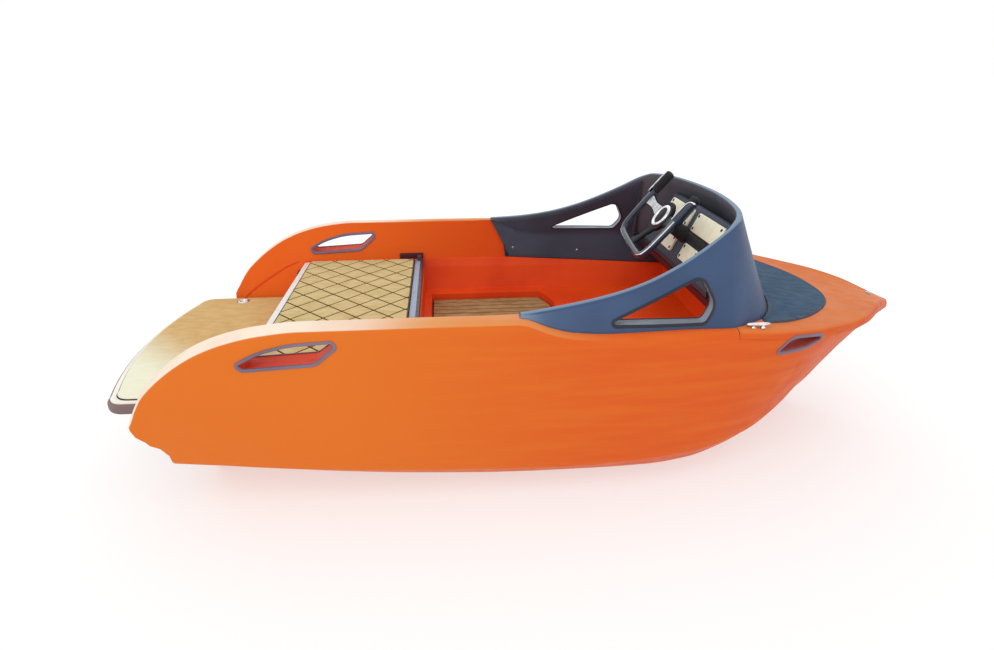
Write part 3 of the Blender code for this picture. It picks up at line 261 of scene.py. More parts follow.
def shade(obj: Object, angle: float = SMOOTH) -> None:
    """Smooth shading, broken at edges that bend more than an angle in degrees."""
    obj.data.shade_smooth()
    obj.data.set_sharp_from_angle(angle=math.radians(angle))


@dataclass
class Piece:
    """Mesh in the making: grids and caps that are joined into one object.

    Attributes:
        name: name of the object.
        points, faces: arrays of points, and the point numbers of each face.
        slots: material index of each face.
        count: number of points so far.
    """

    name: str
    points: list = field(default_factory=list)
    faces: list = field(default_factory=list)
    slots: list = field(default_factory=list)
    count: int = 0

    def grid(self, surface: Array, slot: int | Array = 0, wrap_rows: bool = False,
             wrap_columns: bool = False) -> "Piece":
        """Add a grid of quads: point (i, j) is joined to (i, j+1), (i+1, j+1) and (i+1, j).

        Args:
            surface: points of shape rows, columns, 3.
            slot: material index of the faces, or one for each column of faces.
            wrap_rows, wrap_columns: join the last row or column to the first.

        Returns:
            The piece itself.
        """
        rows, columns = surface.shape[:2]
        i = np.arange(rows - (not wrap_rows))[:, None]
        j = np.arange(columns - (not wrap_columns))[None, :]
        right, below = (j + 1) % columns, ((i + 1) % rows) * columns
        quads = np.stack([i * columns + j, i * columns + right, below + right, below + j + 0 * i], -1)
        self.faces += (quads.reshape(-1, 4) + self.count).tolist()
        self.slots += np.broadcast_to(slot, quads.shape[:2]).reshape(-1).tolist()
        self.points.append(surface.reshape(-1, 3))
        self.count += rows * columns
        return self

    def cap(self, ring: Array, slot: int = 0) -> "Piece":
        """Add one flat face over a ring of points.

        Args:
            ring: points in order.
            slot: material index.

        Returns:
            The piece itself.
        """
        self.faces.append(list(range(self.count, self.count + len(ring))))
        self.slots.append(slot)
        self.points.append(np.asarray(ring, float))
        self.count += len(ring)
        return self

    def tube(self, rings: Array, slots: int | Array = 0, ends: tuple[int, int] = (0, 0)) -> "Piece":
        """Add a closed body through rings of shape rings, points, 3, with a flat face of its own slot at each end."""
        return self.grid(rings, slots, wrap_columns=True).cap(rings[0], ends[0]).cap(rings[-1], ends[1])

    def turned(self, profile: Array, place: Array, axis: Array, steps: int = 48, slot: int = 0) -> "Piece":
        """Add a profile of (radius, height) turned about an axis:
        place + axis * height + radius * (across * cos a + other * sin a).

        Args:
            profile: pairs of radius and height.
            place: foot of the axis.
            axis: direction of the height.
            steps: points round the axis.
            slot: material index.

        Returns:
            The piece itself.
        """
        axis = unit(np.asarray(axis, float))
        helper = ACROSS if abs(axis[1]) < 0.9 else np.array([1.0, 0.0, 0.0])
        across = unit(np.cross(axis, helper))
        angle = np.linspace(0.0, 2 * math.pi, steps, endpoint=False)[:, None, None]
        ring = across * np.cos(angle) + np.cross(axis, across) * np.sin(angle)
        profile = np.asarray(profile, float)
        surface = np.asarray(place, float) + ring * profile[None, :, :1] + axis * profile[None, :, 1:]
        return self.grid(surface, slot, wrap_rows=True)

    def build(self, *finishes: "Finish", angle: float = SMOOTH) -> Object:
        """Make the object, with doubles merged and faces pointing out.

        Args:
            finishes: its finishes in the order of the material indices.
            angle: sharpest bend that is shaded smooth, in degrees.

        Returns:
            The object, linked to the scene.
        """
        mesh = bpy.data.meshes.new(self.name)
        place = np.concatenate(self.points) + (DATUM, 0.0, 0.0)
        mesh.from_pydata(place.tolist(), [], self.faces)
        mesh.polygons.foreach_set("material_index", np.array(self.slots, np.int32))
        builder = bmesh.new()
        builder.from_mesh(mesh)
        bmesh.ops.remove_doubles(builder, verts=builder.verts, dist=WELD)
        bmesh.ops.dissolve_degenerate(builder, dist=WELD, edges=builder.edges)
        bmesh.ops.recalc_face_normals(builder, faces=builder.faces)
        builder.to_mesh(mesh)
        builder.free()
        obj = linked(self.name, mesh, *(finish.material for finish in finishes))
        shade(obj, angle)
        return obj


def prism(name: str, outline: Array, low: float, high: float, view: View) -> Object:
    """Solid between two flat copies of an outline: in plan from z low to high, in profile from y low to high.

    Args:
        name: name of the solid.
        outline: points of the flat outline.
        low, high: the two levels.
        view: plane of the outline.

    Returns:
        The solid.
    """
    rings = []
    for level in (low, high):
        flat = np.full(len(outline), level)
        order = (outline[:, 0], outline[:, 1], flat) if view is View.PLAN else (outline[:, 0], flat, outline[:, 1])
        rings.append(np.stack(order, 1))
    return Piece(name).tube(np.array(rings)).build()


def side_cutter(name: str, outline: Array, side: Side, near: float, far: float) -> Object:
    """Prism of a profile on one side of the boat, between two distances from the middle."""
    return prism(name, outline, *sorted((side.value * near, side.value * far)), View.PROFILE)


def rectangle(low: Sequence[float], high: Sequence[float]) -> Array:
    """Corners of a rectangle, from the first two measures of its opposite corners."""
    return np.array([(low[0], low[1]), (high[0], low[1]), (high[0], high[1]), (low[0], high[1])])


def block(name: str, low: Sequence[float], high: Sequence[float]) -> Object:
    """Box between two corners, as a prism of its plan."""
    return prism(name, rectangle(low, high), low[2], high[2], View.PLAN)


def swept(path: Array, up: Array, section: Array) -> Array:
    """Section carried along a path: centre + side * across + up * out, where side is the tangent crossed with up.

    Args:
        path: points of shape n, 3.
        up: direction of the section's second axis, one or n of them.
        section: across and out, shape m, 2 or n, m, 2.

    Returns:
        Grid of shape n, m, 3.
    """
    tangent = unit(np.gradient(path, axis=0))
    up = np.broadcast_to(up, path.shape)
    side = unit(np.cross(tangent, up))
    lift = unit(np.cross(side, tangent))
    section = np.broadcast_to(section, (len(path), *np.shape(section)[-2:]))
    return path[:, None] + side[:, None] * section[..., :1] + lift[:, None] * section[..., 1:]


class Shader:
    """Material in the making: a Principled shader and the nodes that feed it."""

    def __init__(self, name: str) -> None:
        """Start a material with an empty Principled shader.

        Args:
            name: name of the material.
        """
        self.material = bpy.data.materials.new(name)
        self.material.use_nodes = True
        self.tree = self.material.node_tree
        self.base = self.tree.nodes["Principled BSDF"]
        self.coords = self.result("ShaderNodeTexCoord", "Object", {})

    def result(self, kind: str, output: str | int, inputs: dict, **settings: str) -> Socket:
        """Add a node and feed its inputs.

        Args:
            kind: type of the node.
            output: name or number of the output that is wanted.
            inputs: what each input takes, by its name or number.
            settings: properties of the node, by name.

        Returns:
            The output.
        """
        node = self.tree.nodes.new(kind)
        for name, value in settings.items():
            setattr(node, name, value)
        for key, value in inputs.items():
            self.feed(node.inputs[key], value)
        return node.outputs[output]

    def feed(self, socket: Socket, value: Value) -> None:
        """Give a socket a constant, a colour or another node's output.

        Args:
            socket: the input.
            value: a number, a colour or an output.
        """
        if isinstance(value, Socket):
            self.tree.links.new(value, socket)
        elif isinstance(value, tuple) and len(value) == 3 and socket.type == "RGBA":
            socket.default_value = (*value, 1.0)
        else:
            socket.default_value = value

    def set(self, **values: Value) -> "Shader":
        """Set the Principled shader's sockets, named with underscores for spaces.

        Args:
            values: what each socket takes, by its name.

        Returns:
            The shader itself.
        """
        for name, value in values.items():
            self.feed(self.base.inputs[name.replace("_", " ").title().replace("Ior", "IOR")], value)
        return self

    def stretch(self, scale: Sequence[float]) -> Socket:
        """Object coordinates times a scale on each axis."""
        return self.result("ShaderNodeMapping", "Vector", {"Vector": self.coords, "Scale": scale})

    def noise(self, scale: float, detail: float = 2.0, vector: Socket | None = None) -> Socket:
        """Fractal noise from about 0.3 to 0.7, with scale features to the metre and detail finer layers."""
        inputs = {"Vector": vector or self.coords, "Scale": scale, "Detail": detail}
        return self.result("ShaderNodeTexNoise", "Fac", inputs)

    def cells(self, scale: float) -> Socket:
        """Distance to the nearest cell's centre, with scale cells to the metre."""
        return self.result("ShaderNodeTexVoronoi", "Distance", {"Vector": self.coords, "Scale": scale})

    def axis(self, source: Socket, letter: str) -> Socket:
        """Component X, Y or Z of a vector."""
        return self.result("ShaderNodeSeparateXYZ", letter, {0: source})

    def math(self, operation: str, first: Value, second: Value = 0.0) -> Socket:
        """Arithmetic on two values."""
        return self.result("ShaderNodeMath", 0, {0: first, 1: second}, operation=operation)

    def span(self, value: Value, low: float, high: float, start: float = 0.0, end: float = 1.0) -> Socket:
        """Value from low to high, turned into start to end and held at both."""
        inputs = {"Value": value, "From Min": low, "From Max": high, "To Min": start, "To Max": end}
        return self.result("ShaderNodeMapRange", "Result", inputs, interpolation_type="SMOOTHSTEP")

    def mix(self, share: Value, first: Value, second: Value) -> Socket:
        """Colour between two colours, where share 1 is the second."""
        return self.result("ShaderNodeMix", 2, {0: share, 6: first, 7: second}, data_type="RGBA")

    def bump(self, height: Value, strength: float, depth: float, under: Socket | None = None) -> Socket:
        """Normal from a height of 0 to 1 and a depth in metres, laid over another normal if there is one."""
        inputs = {"Height": height, "Strength": strength, "Distance": depth}
        return self.result("ShaderNodeBump", "Normal", inputs | ({} if under is None else {"Normal": under}))

    def facing(self, letter: str) -> Socket:
        """One component of the surface's normal in the frame."""
        return self.axis(self.result("ShaderNodeNewGeometry", "Normal", {}), letter)


@dataclass(frozen=True)
class Moulding:
    """Moulded plastic: two close colours in soft clouds, orange-peel bump, scuffs that turn it rougher.

    Attributes:
        name: name of the material.
        colour, cloud: main colour and the colour of the clouds.
        rough: roughness where it is clean.
        grain, depth: features to the metre and depth of the surface's texture.
        scuff: added roughness in the scuffs.
        shine: level of the mirror-like reflection.
    """

    name: str
    colour: Colour
    cloud: Colour
    rough: float = 0.4
    grain: float = 500.0
    depth: float = 0.0003
    scuff: float = 0.18
    shine: float = 0.5

    def build(self) -> Material:
        """Make the material.

        Returns:
            The material.
        """
        s = Shader(self.name)
        clouds = s.span(s.noise(3.2, 3.0), 0.35, 0.65)
        worn = s.span(s.noise(38.0, 6.0, s.stretch((0.35, 1.0, 1.0))), 0.56, 0.72)
        s.set(base_color=s.mix(clouds, self.colour, self.cloud),
              roughness=s.span(worn, 0.0, 1.0, self.rough, min(1.0, self.rough + self.scuff)),
              normal=s.bump(s.noise(self.grain, 2.0), 0.35, self.depth), specular_ior_level=self.shine)
        return s.material


@dataclass(frozen=True)
class HullSkin:
    """Hull moulding: orange outside, with painted shade on the walls that face inwards and a painted highlight on the
    top.

    The walls are told by y times the normal's y, which is negative where a face looks at the middle.

    Attributes:
        outside, low_aft, forward: side colours amidships, aft and at the bow; partly own tone, partly painted light.
        wall, wall_deep: colours of the painted shade on the inner walls at the stern and further forward.
        bleached, tanned: colours of the painted highlight on the top at the stern and amidships.
        deck_tan: colour of the painted highlight on the foredeck's top, which faces up.
        covered: colour of the painted shade on the deck inside the cowl and on the deck's aft face.
        scuffed: colour of the scuffs near the ground.
    """

    outside: Colour = rgb(214, 90, 38)
    low_aft: Colour = rgb(219, 113, 42)
    forward: Colour = rgb(203, 84, 38)
    wall: Colour = rgb(236, 104, 36)
    wall_deep: Colour = rgb(216, 70, 24)
    bleached: Colour = rgb(240, 229, 210)
    tanned: Colour = rgb(216, 182, 122)
    deck_tan: Colour = rgb(226, 157, 86)
    covered: Colour = rgb(50, 48, 56)
    scuffed: Colour = rgb(190, 150, 120)

    def build(self) -> Material:
        """Make the material.

        Returns:
            The material.
        """
        s = Shader("hull_orange")
        along, height = s.axis(s.coords, "X"), s.axis(s.coords, "Z")
        # Painted shade: faces that look at the middle of the boat, above the floor, take the redder inner colours.
        facing_in = s.math("MULTIPLY", s.axis(s.coords, "Y"), s.facing("Y"))
        inside = s.math("MULTIPLY", s.span(facing_in, -0.12, -0.30), s.span(height, 0.38, 0.40))
        streak = s.noise(5.0, 4.0, s.stretch((0.6, 1.0, 7.0)))
        # The side's colour from aft to bow is partly the hull's own tone and partly painted light.
        outer = s.mix(s.span(along, -0.9, 0.5), self.low_aft, self.outside)
        outer = s.mix(s.span(along, 0.5, 1.5), outer, self.forward)
        outer = s.mix(s.span(streak, 0.35, 0.75, 0.0, 0.45), outer, self.low_aft)
        # Painted shade of the inner walls, deeper further forward.
        inner = s.mix(s.span(along, -1.2, 0.5), self.wall, self.wall_deep)
        colour = s.mix(inside, outer, inner)
        # Painted highlight: the top, where it faces up, turns pale at the stern and tan amidships, in patches.
        edge = s.span(s.math("ABSOLUTE", s.facing("Y")), 0.90, 0.80)
        up = s.math("MULTIPLY", edge, s.span(s.facing("Z"), 0.02, 0.20))
        patch = s.span(s.noise(7.0, 3.0), 0.25, 0.6, 0.82, 1.0)
        faded = s.math("ADD", s.span(along, 0.30, -0.30, 0.0, 0.42), s.span(along, -0.30, -0.95, 0.0, 0.50))
        top = s.math("MULTIPLY", s.math("MULTIPLY", up, faded), patch)
        top = s.math("MULTIPLY", top, s.span(height, 0.412, 0.424))
        colour = s.mix(top, colour, s.mix(s.span(along, -0.72, -0.38), self.bleached, self.tanned))
        # Painted highlight: the foredeck's top, where it faces up, turns lighter.
        deck = s.math("MULTIPLY", s.span(s.facing("Z"), 0.5, 0.9), s.span(along, 0.64, 0.68, 0.0, 0.30))
        colour = s.mix(deck, colour, self.deck_tan)
        # Painted shade: the deck inside the cowl, then the deck's aft face, turn dark.
        colour = s.mix(self.under_cowl(s, along), colour, self.covered)
        stern_face = s.math("MULTIPLY", s.span(s.facing("X"), -0.5, -0.8), s.span(along, 0.64, 0.65))
        colour = s.mix(s.math("MULTIPLY", stern_face, s.span(height, 0.60, 0.61)), colour, self.covered)
        scuffs = s.span(s.noise(30.0, 7.0, s.stretch((0.25, 1.0, 2.2))), 0.60, 0.74)
        low = s.span(height, 0.22, 0.04)
        worn = s.math("MULTIPLY", scuffs, low)
        colour = s.mix(s.math("MULTIPLY", worn, 0.35), colour, self.scuffed)
        peel = s.bump(s.noise(420.0, 2.0), 0.22, 0.0003)
        s.set(base_color=colour, roughness=s.span(s.noise(14.0, 5.0), 0.35, 0.70, 0.40, 0.54),
              normal=s.bump(s.noise(6.0, 1.0), 0.08, 0.001, peel), specular_ior_level=0.09)
        return s.material

    def under_cowl(self, s: Shader, along: Socket) -> Socket:
        """Share of the deck inside the cowl that takes painted shade: an ellipse of x and y that ends under the
        cowl's wall.

        Args:
            s: the material in the making.
            along: the x that it reads.

        Returns:
            The socket with the share.
        """
        ahead = s.math("DIVIDE", s.math("SUBTRACT", along, 0.64), 0.36)
        across = s.math("DIVIDE", s.axis(s.coords, "Y"), 0.69)
        reach = s.math("ADD", s.math("MULTIPLY", ahead, ahead), s.math("MULTIPLY", across, across))
        deck = s.math("MULTIPLY", s.span(s.axis(s.coords, "Z"), 0.66, 0.67), s.span(along, 0.656, 0.664))
        return s.math("MULTIPLY", s.span(reach, 0.84, 0.80), deck)


@dataclass(frozen=True)
class Foam:
    """Closed-cell deck foam: brushed grain of fine pits and faint streaks, quite matt.

    Attributes:
        name: name of the material.
        colour, shade: the sheet's colour and the colour of its streaks.
        fade, fade_shade: the two colours of a painted highlight towards the stern, or None where the sheet has none.
        fade_slope: the fade runs along y + slope * x.
        fade_from, fade_to: where the fade is none and full.
    """

    name: str
    colour: Colour
    shade: Colour
    fade: Colour | None = None
    fade_shade: Colour | None = None
    fade_slope: float = 0.9
    fade_from: float = -1.314
    fade_to: float = -1.764

    def build(self) -> Material:
        """Make the material.

        Returns:
            The material.
        """
        s = Shader(self.name)
        streaks = s.span(s.noise(34.0, 6.0, s.stretch((0.5, 1.2, 1.0))), 0.30, 0.72)
        colour = s.mix(streaks, self.colour, self.shade)
        # Painted highlight: the sheet turns whiter towards its starboard aft corner.
        if self.fade:
            aft = s.mix(streaks, self.fade, self.fade_shade)
            along = s.math("MULTIPLY", s.axis(s.coords, "X"), self.fade_slope)
            along = s.math("ADD", along, s.axis(s.coords, "Y"))
            colour = s.mix(s.span(along, self.fade_from, self.fade_to), colour, aft)
        pits = s.cells(700.0)
        colour = s.mix(s.span(pits, 0.0, 0.35, 0.22, 0.0), colour, self.shade)
        s.set(base_color=colour, roughness=s.span(streaks, 0.0, 1.0, 0.70, 0.86), specular_ior_level=0.2,
              normal=s.bump(pits, 0.4, 0.0004, s.bump(s.noise(1500.0, 1.0), 0.3, 0.0002)))
        return s.material


@dataclass(frozen=True)
class RimmedSlate:
    """Slate-blue moulding of the cowl, with a painted highlight where it faces up, which is its rim.

    Attributes:
        side, cloud: the two colours of the wall.
        rim: colour of the painted highlight on the rim.
    """

    side: Colour = rgb(67, 85, 117)
    cloud: Colour = rgb(61, 78, 108)
    rim: Colour = rgb(120, 144, 166)

    def build(self) -> Material:
        """Make the material.

        Returns:
            The material.
        """
        s = Shader("cowl_slate")
        body = s.mix(s.span(s.noise(3.0, 3.0), 0.35, 0.65), self.side, self.cloud)
        worn = s.span(s.noise(40.0, 6.0, s.stretch((0.4, 1.0, 1.0))), 0.58, 0.72)
        # Painted highlight: faces that look up, along the rim, turn paler.
        body = s.mix(s.span(s.facing("Z"), 0.35, 0.9, 0.0, 0.85), body, self.rim)
        s.set(base_color=body, roughness=s.span(worn, 0.0, 1.0, 0.46, 0.60), specular_ior_level=0.18,
              normal=s.bump(s.noise(520.0, 2.0), 0.3, 0.0003))
        return s.material


@dataclass(frozen=True)
class LidSkin:
    """Hatch lid: blue-grey on top, whitish towards the stern, with painted shade on its forward end and forward face.

    Attributes:
        top, aft: colours of the top and of its aft end.
        dark: colour of the painted shade on the forward end and the forward face.
    """

    top: Colour = rgb(146, 160, 184)
    aft: Colour = rgb(226, 222, 220)
    dark: Colour = rgb(66, 56, 66)

    def build(self) -> Material:
        """Make the material.

        Returns:
            The material.
        """
        s = Shader("lid_grey")
        along = s.axis(s.coords, "X")
        body = s.mix(s.span(along, -0.98, -1.06), self.top, self.aft)
        # Painted shade: the forward end of the top and the faces that look forward turn dark.
        body = s.mix(s.span(along, -0.5065, -0.5035), body, self.dark)
        body = s.mix(s.span(s.facing("X"), 0.35, 0.7), body, self.dark)
        body = s.mix(s.span(s.axis(s.coords, "Z"), 0.5925, 0.5935), body, self.dark)
        body = s.mix(s.span(s.noise(30.0, 6.0), 0.5, 0.8, 0.0, 0.3), body, self.dark)
        s.set(base_color=body, roughness=s.span(s.noise(22.0, 5.0), 0.3, 0.7, 0.36, 0.5),
              normal=s.bump(s.noise(520.0, 2.0), 0.3, 0.0003))
        return s.material


@dataclass(frozen=True)
class Metal:
    """Metal: polished, brushed or cast, by its roughness and its grain.

    Attributes:
        name: name of the material.
        colour: its linear colour.
        rough: roughness where it is clean.
        grain, depth: features to the metre and depth of the grain.
        stretch: scale of the grain on each axis.
    """

    name: str
    colour: Colour
    rough: float
    grain: float = 900.0
    depth: float = 0.0001
    stretch: tuple = (1.0, 1.0, 1.0)

    def build(self) -> Material:
        """Make the material.

        Returns:
            The material.
        """
        s = Shader(self.name)
        tarnish = s.span(s.noise(45.0, 5.0), 0.42, 0.68)
        dark = tuple(channel * 0.72 for channel in self.colour)
        s.set(base_color=s.mix(tarnish, self.colour, dark), metallic=1.0,
              roughness=s.span(tarnish, 0.0, 1.0, self.rough, self.rough + 0.14),
              normal=s.bump(s.noise(self.grain, 2.0, s.stretch(self.stretch)), 0.3, self.depth))
        return s.material


class Finish(Enum):
    """Every finish of the boat, in its own colours."""

    HULL = HullSkin()
    TUB = Moulding("tub_red_orange", rgb(232, 78, 26), rgb(220, 66, 22), 0.5, shine=0.18)
    SLATE = RimmedSlate()
    SLATE_INSIDE = Moulding("cowl_inside", rgb(92, 94, 102), rgb(80, 82, 92), 0.5, shine=0.25)
    PANEL = Moulding("panel_dark", rgb(68, 74, 90), rgb(58, 62, 76), 0.5, shine=0.3)
    TRIM = Moulding("trim_dark", rgb(34, 36, 46), rgb(26, 28, 36), 0.4)
    SLOT_TRIM = Moulding("slot_trim", rgb(122, 108, 124), rgb(104, 92, 110), 0.55)
    CREAM = Foam("pad_cream", rgb(206, 183, 132), rgb(192, 167, 115))
    MAT = Foam("mat_brown", rgb(176, 140, 98), rgb(150, 112, 72))
    # The platform's last two colours are a painted highlight towards its starboard aft corner.
    PLATFORM = Foam("platform_cream", rgb(208, 172, 116), rgb(198, 160, 102), rgb(232, 232, 208), rgb(229, 228, 200))
    FOAM_BASE = Foam("foam_base", rgb(44, 42, 46), rgb(34, 32, 36))
    GROOVE = Foam("foam_groove", rgb(118, 94, 54), rgb(104, 82, 46))
    # Painted shadow: dark red for the strip under the dash.
    APRON = Moulding("apron_red", rgb(98, 34, 32), rgb(84, 28, 28), 0.5, shine=0.2)
    # Painted highlight: pale blue-grey for the sleeve inside the window trims.
    LEDGE = Moulding("window_ledge", rgb(132, 142, 156), rgb(112, 120, 134), 0.45)
    TEAL = Foam("pad_teal", rgb(62, 86, 110), rgb(56, 79, 102))
    TEAL_EDGE = Foam("pad_teal_edge", rgb(74, 86, 102), rgb(66, 78, 94))
    IVORY = Moulding("edge_ivory", rgb(240, 236, 226), rgb(228, 222, 208), 0.5)
    DASH_FOAM = Foam("dash_ivory", rgb(250, 249, 226), rgb(242, 240, 210))
    LID = LidSkin()
    BLACK = Moulding("black_plastic", rgb(24, 25, 30), rgb(34, 35, 42), 0.38)
    HINGE = Moulding("hinge_dark", rgb(92, 46, 50), rgb(76, 36, 42), 0.5, shine=0.2)
    GLOSS = Moulding("gloss_black", rgb(46, 56, 74), rgb(34, 42, 58), 0.16, 300.0, 0.0001, 0.06)
    HUB = Moulding("hub_black", rgb(24, 25, 30), rgb(30, 31, 38), 0.45, shine=0.12)
    GRIP = Moulding("grip_rubber", rgb(26, 26, 28), rgb(36, 36, 38), 0.72, 900.0, 0.0006)
    FENDER = Moulding("fender_rubber", rgb(132, 110, 106), rgb(112, 92, 90), 0.7)
    CHROME = Metal("chrome", (0.86, 0.87, 0.90), 0.08)
    STEEL = Metal("stainless", (0.60, 0.61, 0.63), 0.26, 700.0, 0.0002, (0.1, 1.0, 1.0))
    ALLOY = Metal("cast_alloy", (0.52, 0.53, 0.55), 0.42, 260.0, 0.0006)
    ENGINE = Metal("engine_alloy", (0.30, 0.31, 0.33), 0.5, 200.0, 0.0008)
    RECESS = Moulding("recess_red", rgb(188, 96, 86), rgb(172, 84, 76), 0.5)

    @cached_property
    def material(self) -> Material:
        """The finish's material, made when it is first asked for."""
        return self.value.build()


def install(obj: Object, body: str, slot: str, *nodes: str) -> Object:
    """Hand a finished object to the frame.

    Args:
        obj: the finished piece.
        body: the body that carries it.
        slot: the record's material slot; not used.
        nodes: nodes that it stands for.

    Returns:
        The object.
    """
    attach(obj, body)
    if nodes:
        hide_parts(*nodes)
    log.info("%s: %d faces", obj.name, len(obj.data.polygons))
    return obj


def install_pad(obj: Object, body: str, slot: str, node: str) -> None:
    """Hand a foam pad to the frame."""
    install(obj, body, slot, node)


def dress_node(node: str, finish: "Finish", body: str, slot: str, width: float, segments: int = 3) -> None:
    """Install a copy of a node's solid with merged points, flat faces joined and edges rounded.

    Args:
        node: the node.
        finish: the copy's finish.
        body: the body that carries it.
        slot: the record's material slot.
        width: width of the rounding.
        segments: spans across the rounding.
    """
    builder = bmesh.new()
    builder.from_mesh(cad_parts[node].data)
    bmesh.ops.remove_doubles(builder, verts=builder.verts, dist=2 * WELD)
    bmesh.ops.dissolve_limit(builder, angle_limit=math.radians(0.4), verts=builder.verts, edges=builder.edges)
    mesh = bpy.data.meshes.new(node + "_finished")
    builder.to_mesh(mesh)
    builder.free()
    mesh.materials.clear()
    mesh.polygons.foreach_set("material_index", np.zeros(len(mesh.polygons), np.int32))
    obj = linked(mesh.name, mesh, finish.material)
    bevel(obj, width, segments)
    shade(obj)
    install(obj, body, slot, node)


def plan(points: Array, height: float) -> Array:
    """Flat points of x and y laid at a height."""
    return np.stack([points[:, 0], points[:, 1], np.full(len(points), height)], 1)


def slab(piece: Piece, outline: Array, low: float, high: float, edge: float, slot: int = 0,
         lay: Callable[[Array, float], Array] = plan, wall: int | None = None) -> Piece:
    """Flat body whose upper edge is rounded: the outline moves in by edge * (1 - cos a) as it rises to
    high - edge * (1 - sin a), with a from 0 to a quarter turn.

    Args:
        piece: piece that takes the body.
        outline: dense closed outline.
        low, high: heights of the two faces.
        edge: radius of the rounding.
        slot: material index.
        lay: turns flat points and a height into places in space.
        wall: material index of the upright sides, or None for that of the rest.

    Returns:
        The piece.
    """
    normal = outward(outline)
    steps = 4
    turn = np.linspace(0.0, math.pi / 2, steps + 1)
    insets = [0.0, *(edge * (1 - np.cos(turn)))]
    heights = [low, *(high - edge * (1 - np.sin(turn)))]
    rings = np.array([lay(outline - normal * inset, height) for inset, height in zip(insets, heights)])
    slots = np.array([slot if wall is None else wall] + [slot] * steps)[:, None]
    return piece.tube(rings, slots, (slot, slot))


def mirrored(half: Sequence) -> Array:
    """Closed outline from its port half: the half, then its points off the middle line, reversed with y negated."""
    half = np.asarray(half, float)
    return np.vstack([half, (half * (1.0, -1.0))[half[:, 1] > 1e-9][::-1]])


def smooth_path(points: Sequence, count: int) -> Array:
    """Curve through points, each coordinate a monotone cubic of the chord length.

    Args:
        points: points that the curve passes.
        count: number of points on the curve.

    Returns:
        The curve's points.
    """
    points = np.asarray(points, float)
    chord = np.concatenate([[0.0], np.cumsum(np.linalg.norm(np.diff(points, axis=0), axis=1))])
    at = np.linspace(0.0, chord[-1], count)
    return np.stack([pchip(at, chord, column) for column in points.T], 1)


def oval(across: float, out: float, count: int = 24, power: float = 2.0) -> Array:
    """Superellipse: sign(cos a) |cos a|^(2/p) times the half-width, and the same with the sine.

    Args:
        across, out: half-width and half-height.
        count: number of points.
        power: 2 for an ellipse, more for fuller corners.

    Returns:
        The points, of shape count, 2.
    """
    angle = np.linspace(0.0, 2 * math.pi, count, endpoint=False)
    cos, sin = np.cos(angle), np.sin(angle)
    return np.stack([across * np.sign(cos) * np.abs(cos) ** (2 / power),
                     out * np.sign(sin) * np.abs(sin) ** (2 / power)], 1)


def bent(t: Array, start: Array, handle: Array, end: Array) -> Array:
    """Quadratic curve: (1 - t)^2 start + 2 t (1 - t) handle + t^2 end."""
    return (1 - t) ** 2 * start + 2 * t * (1 - t) * handle + t * t * end


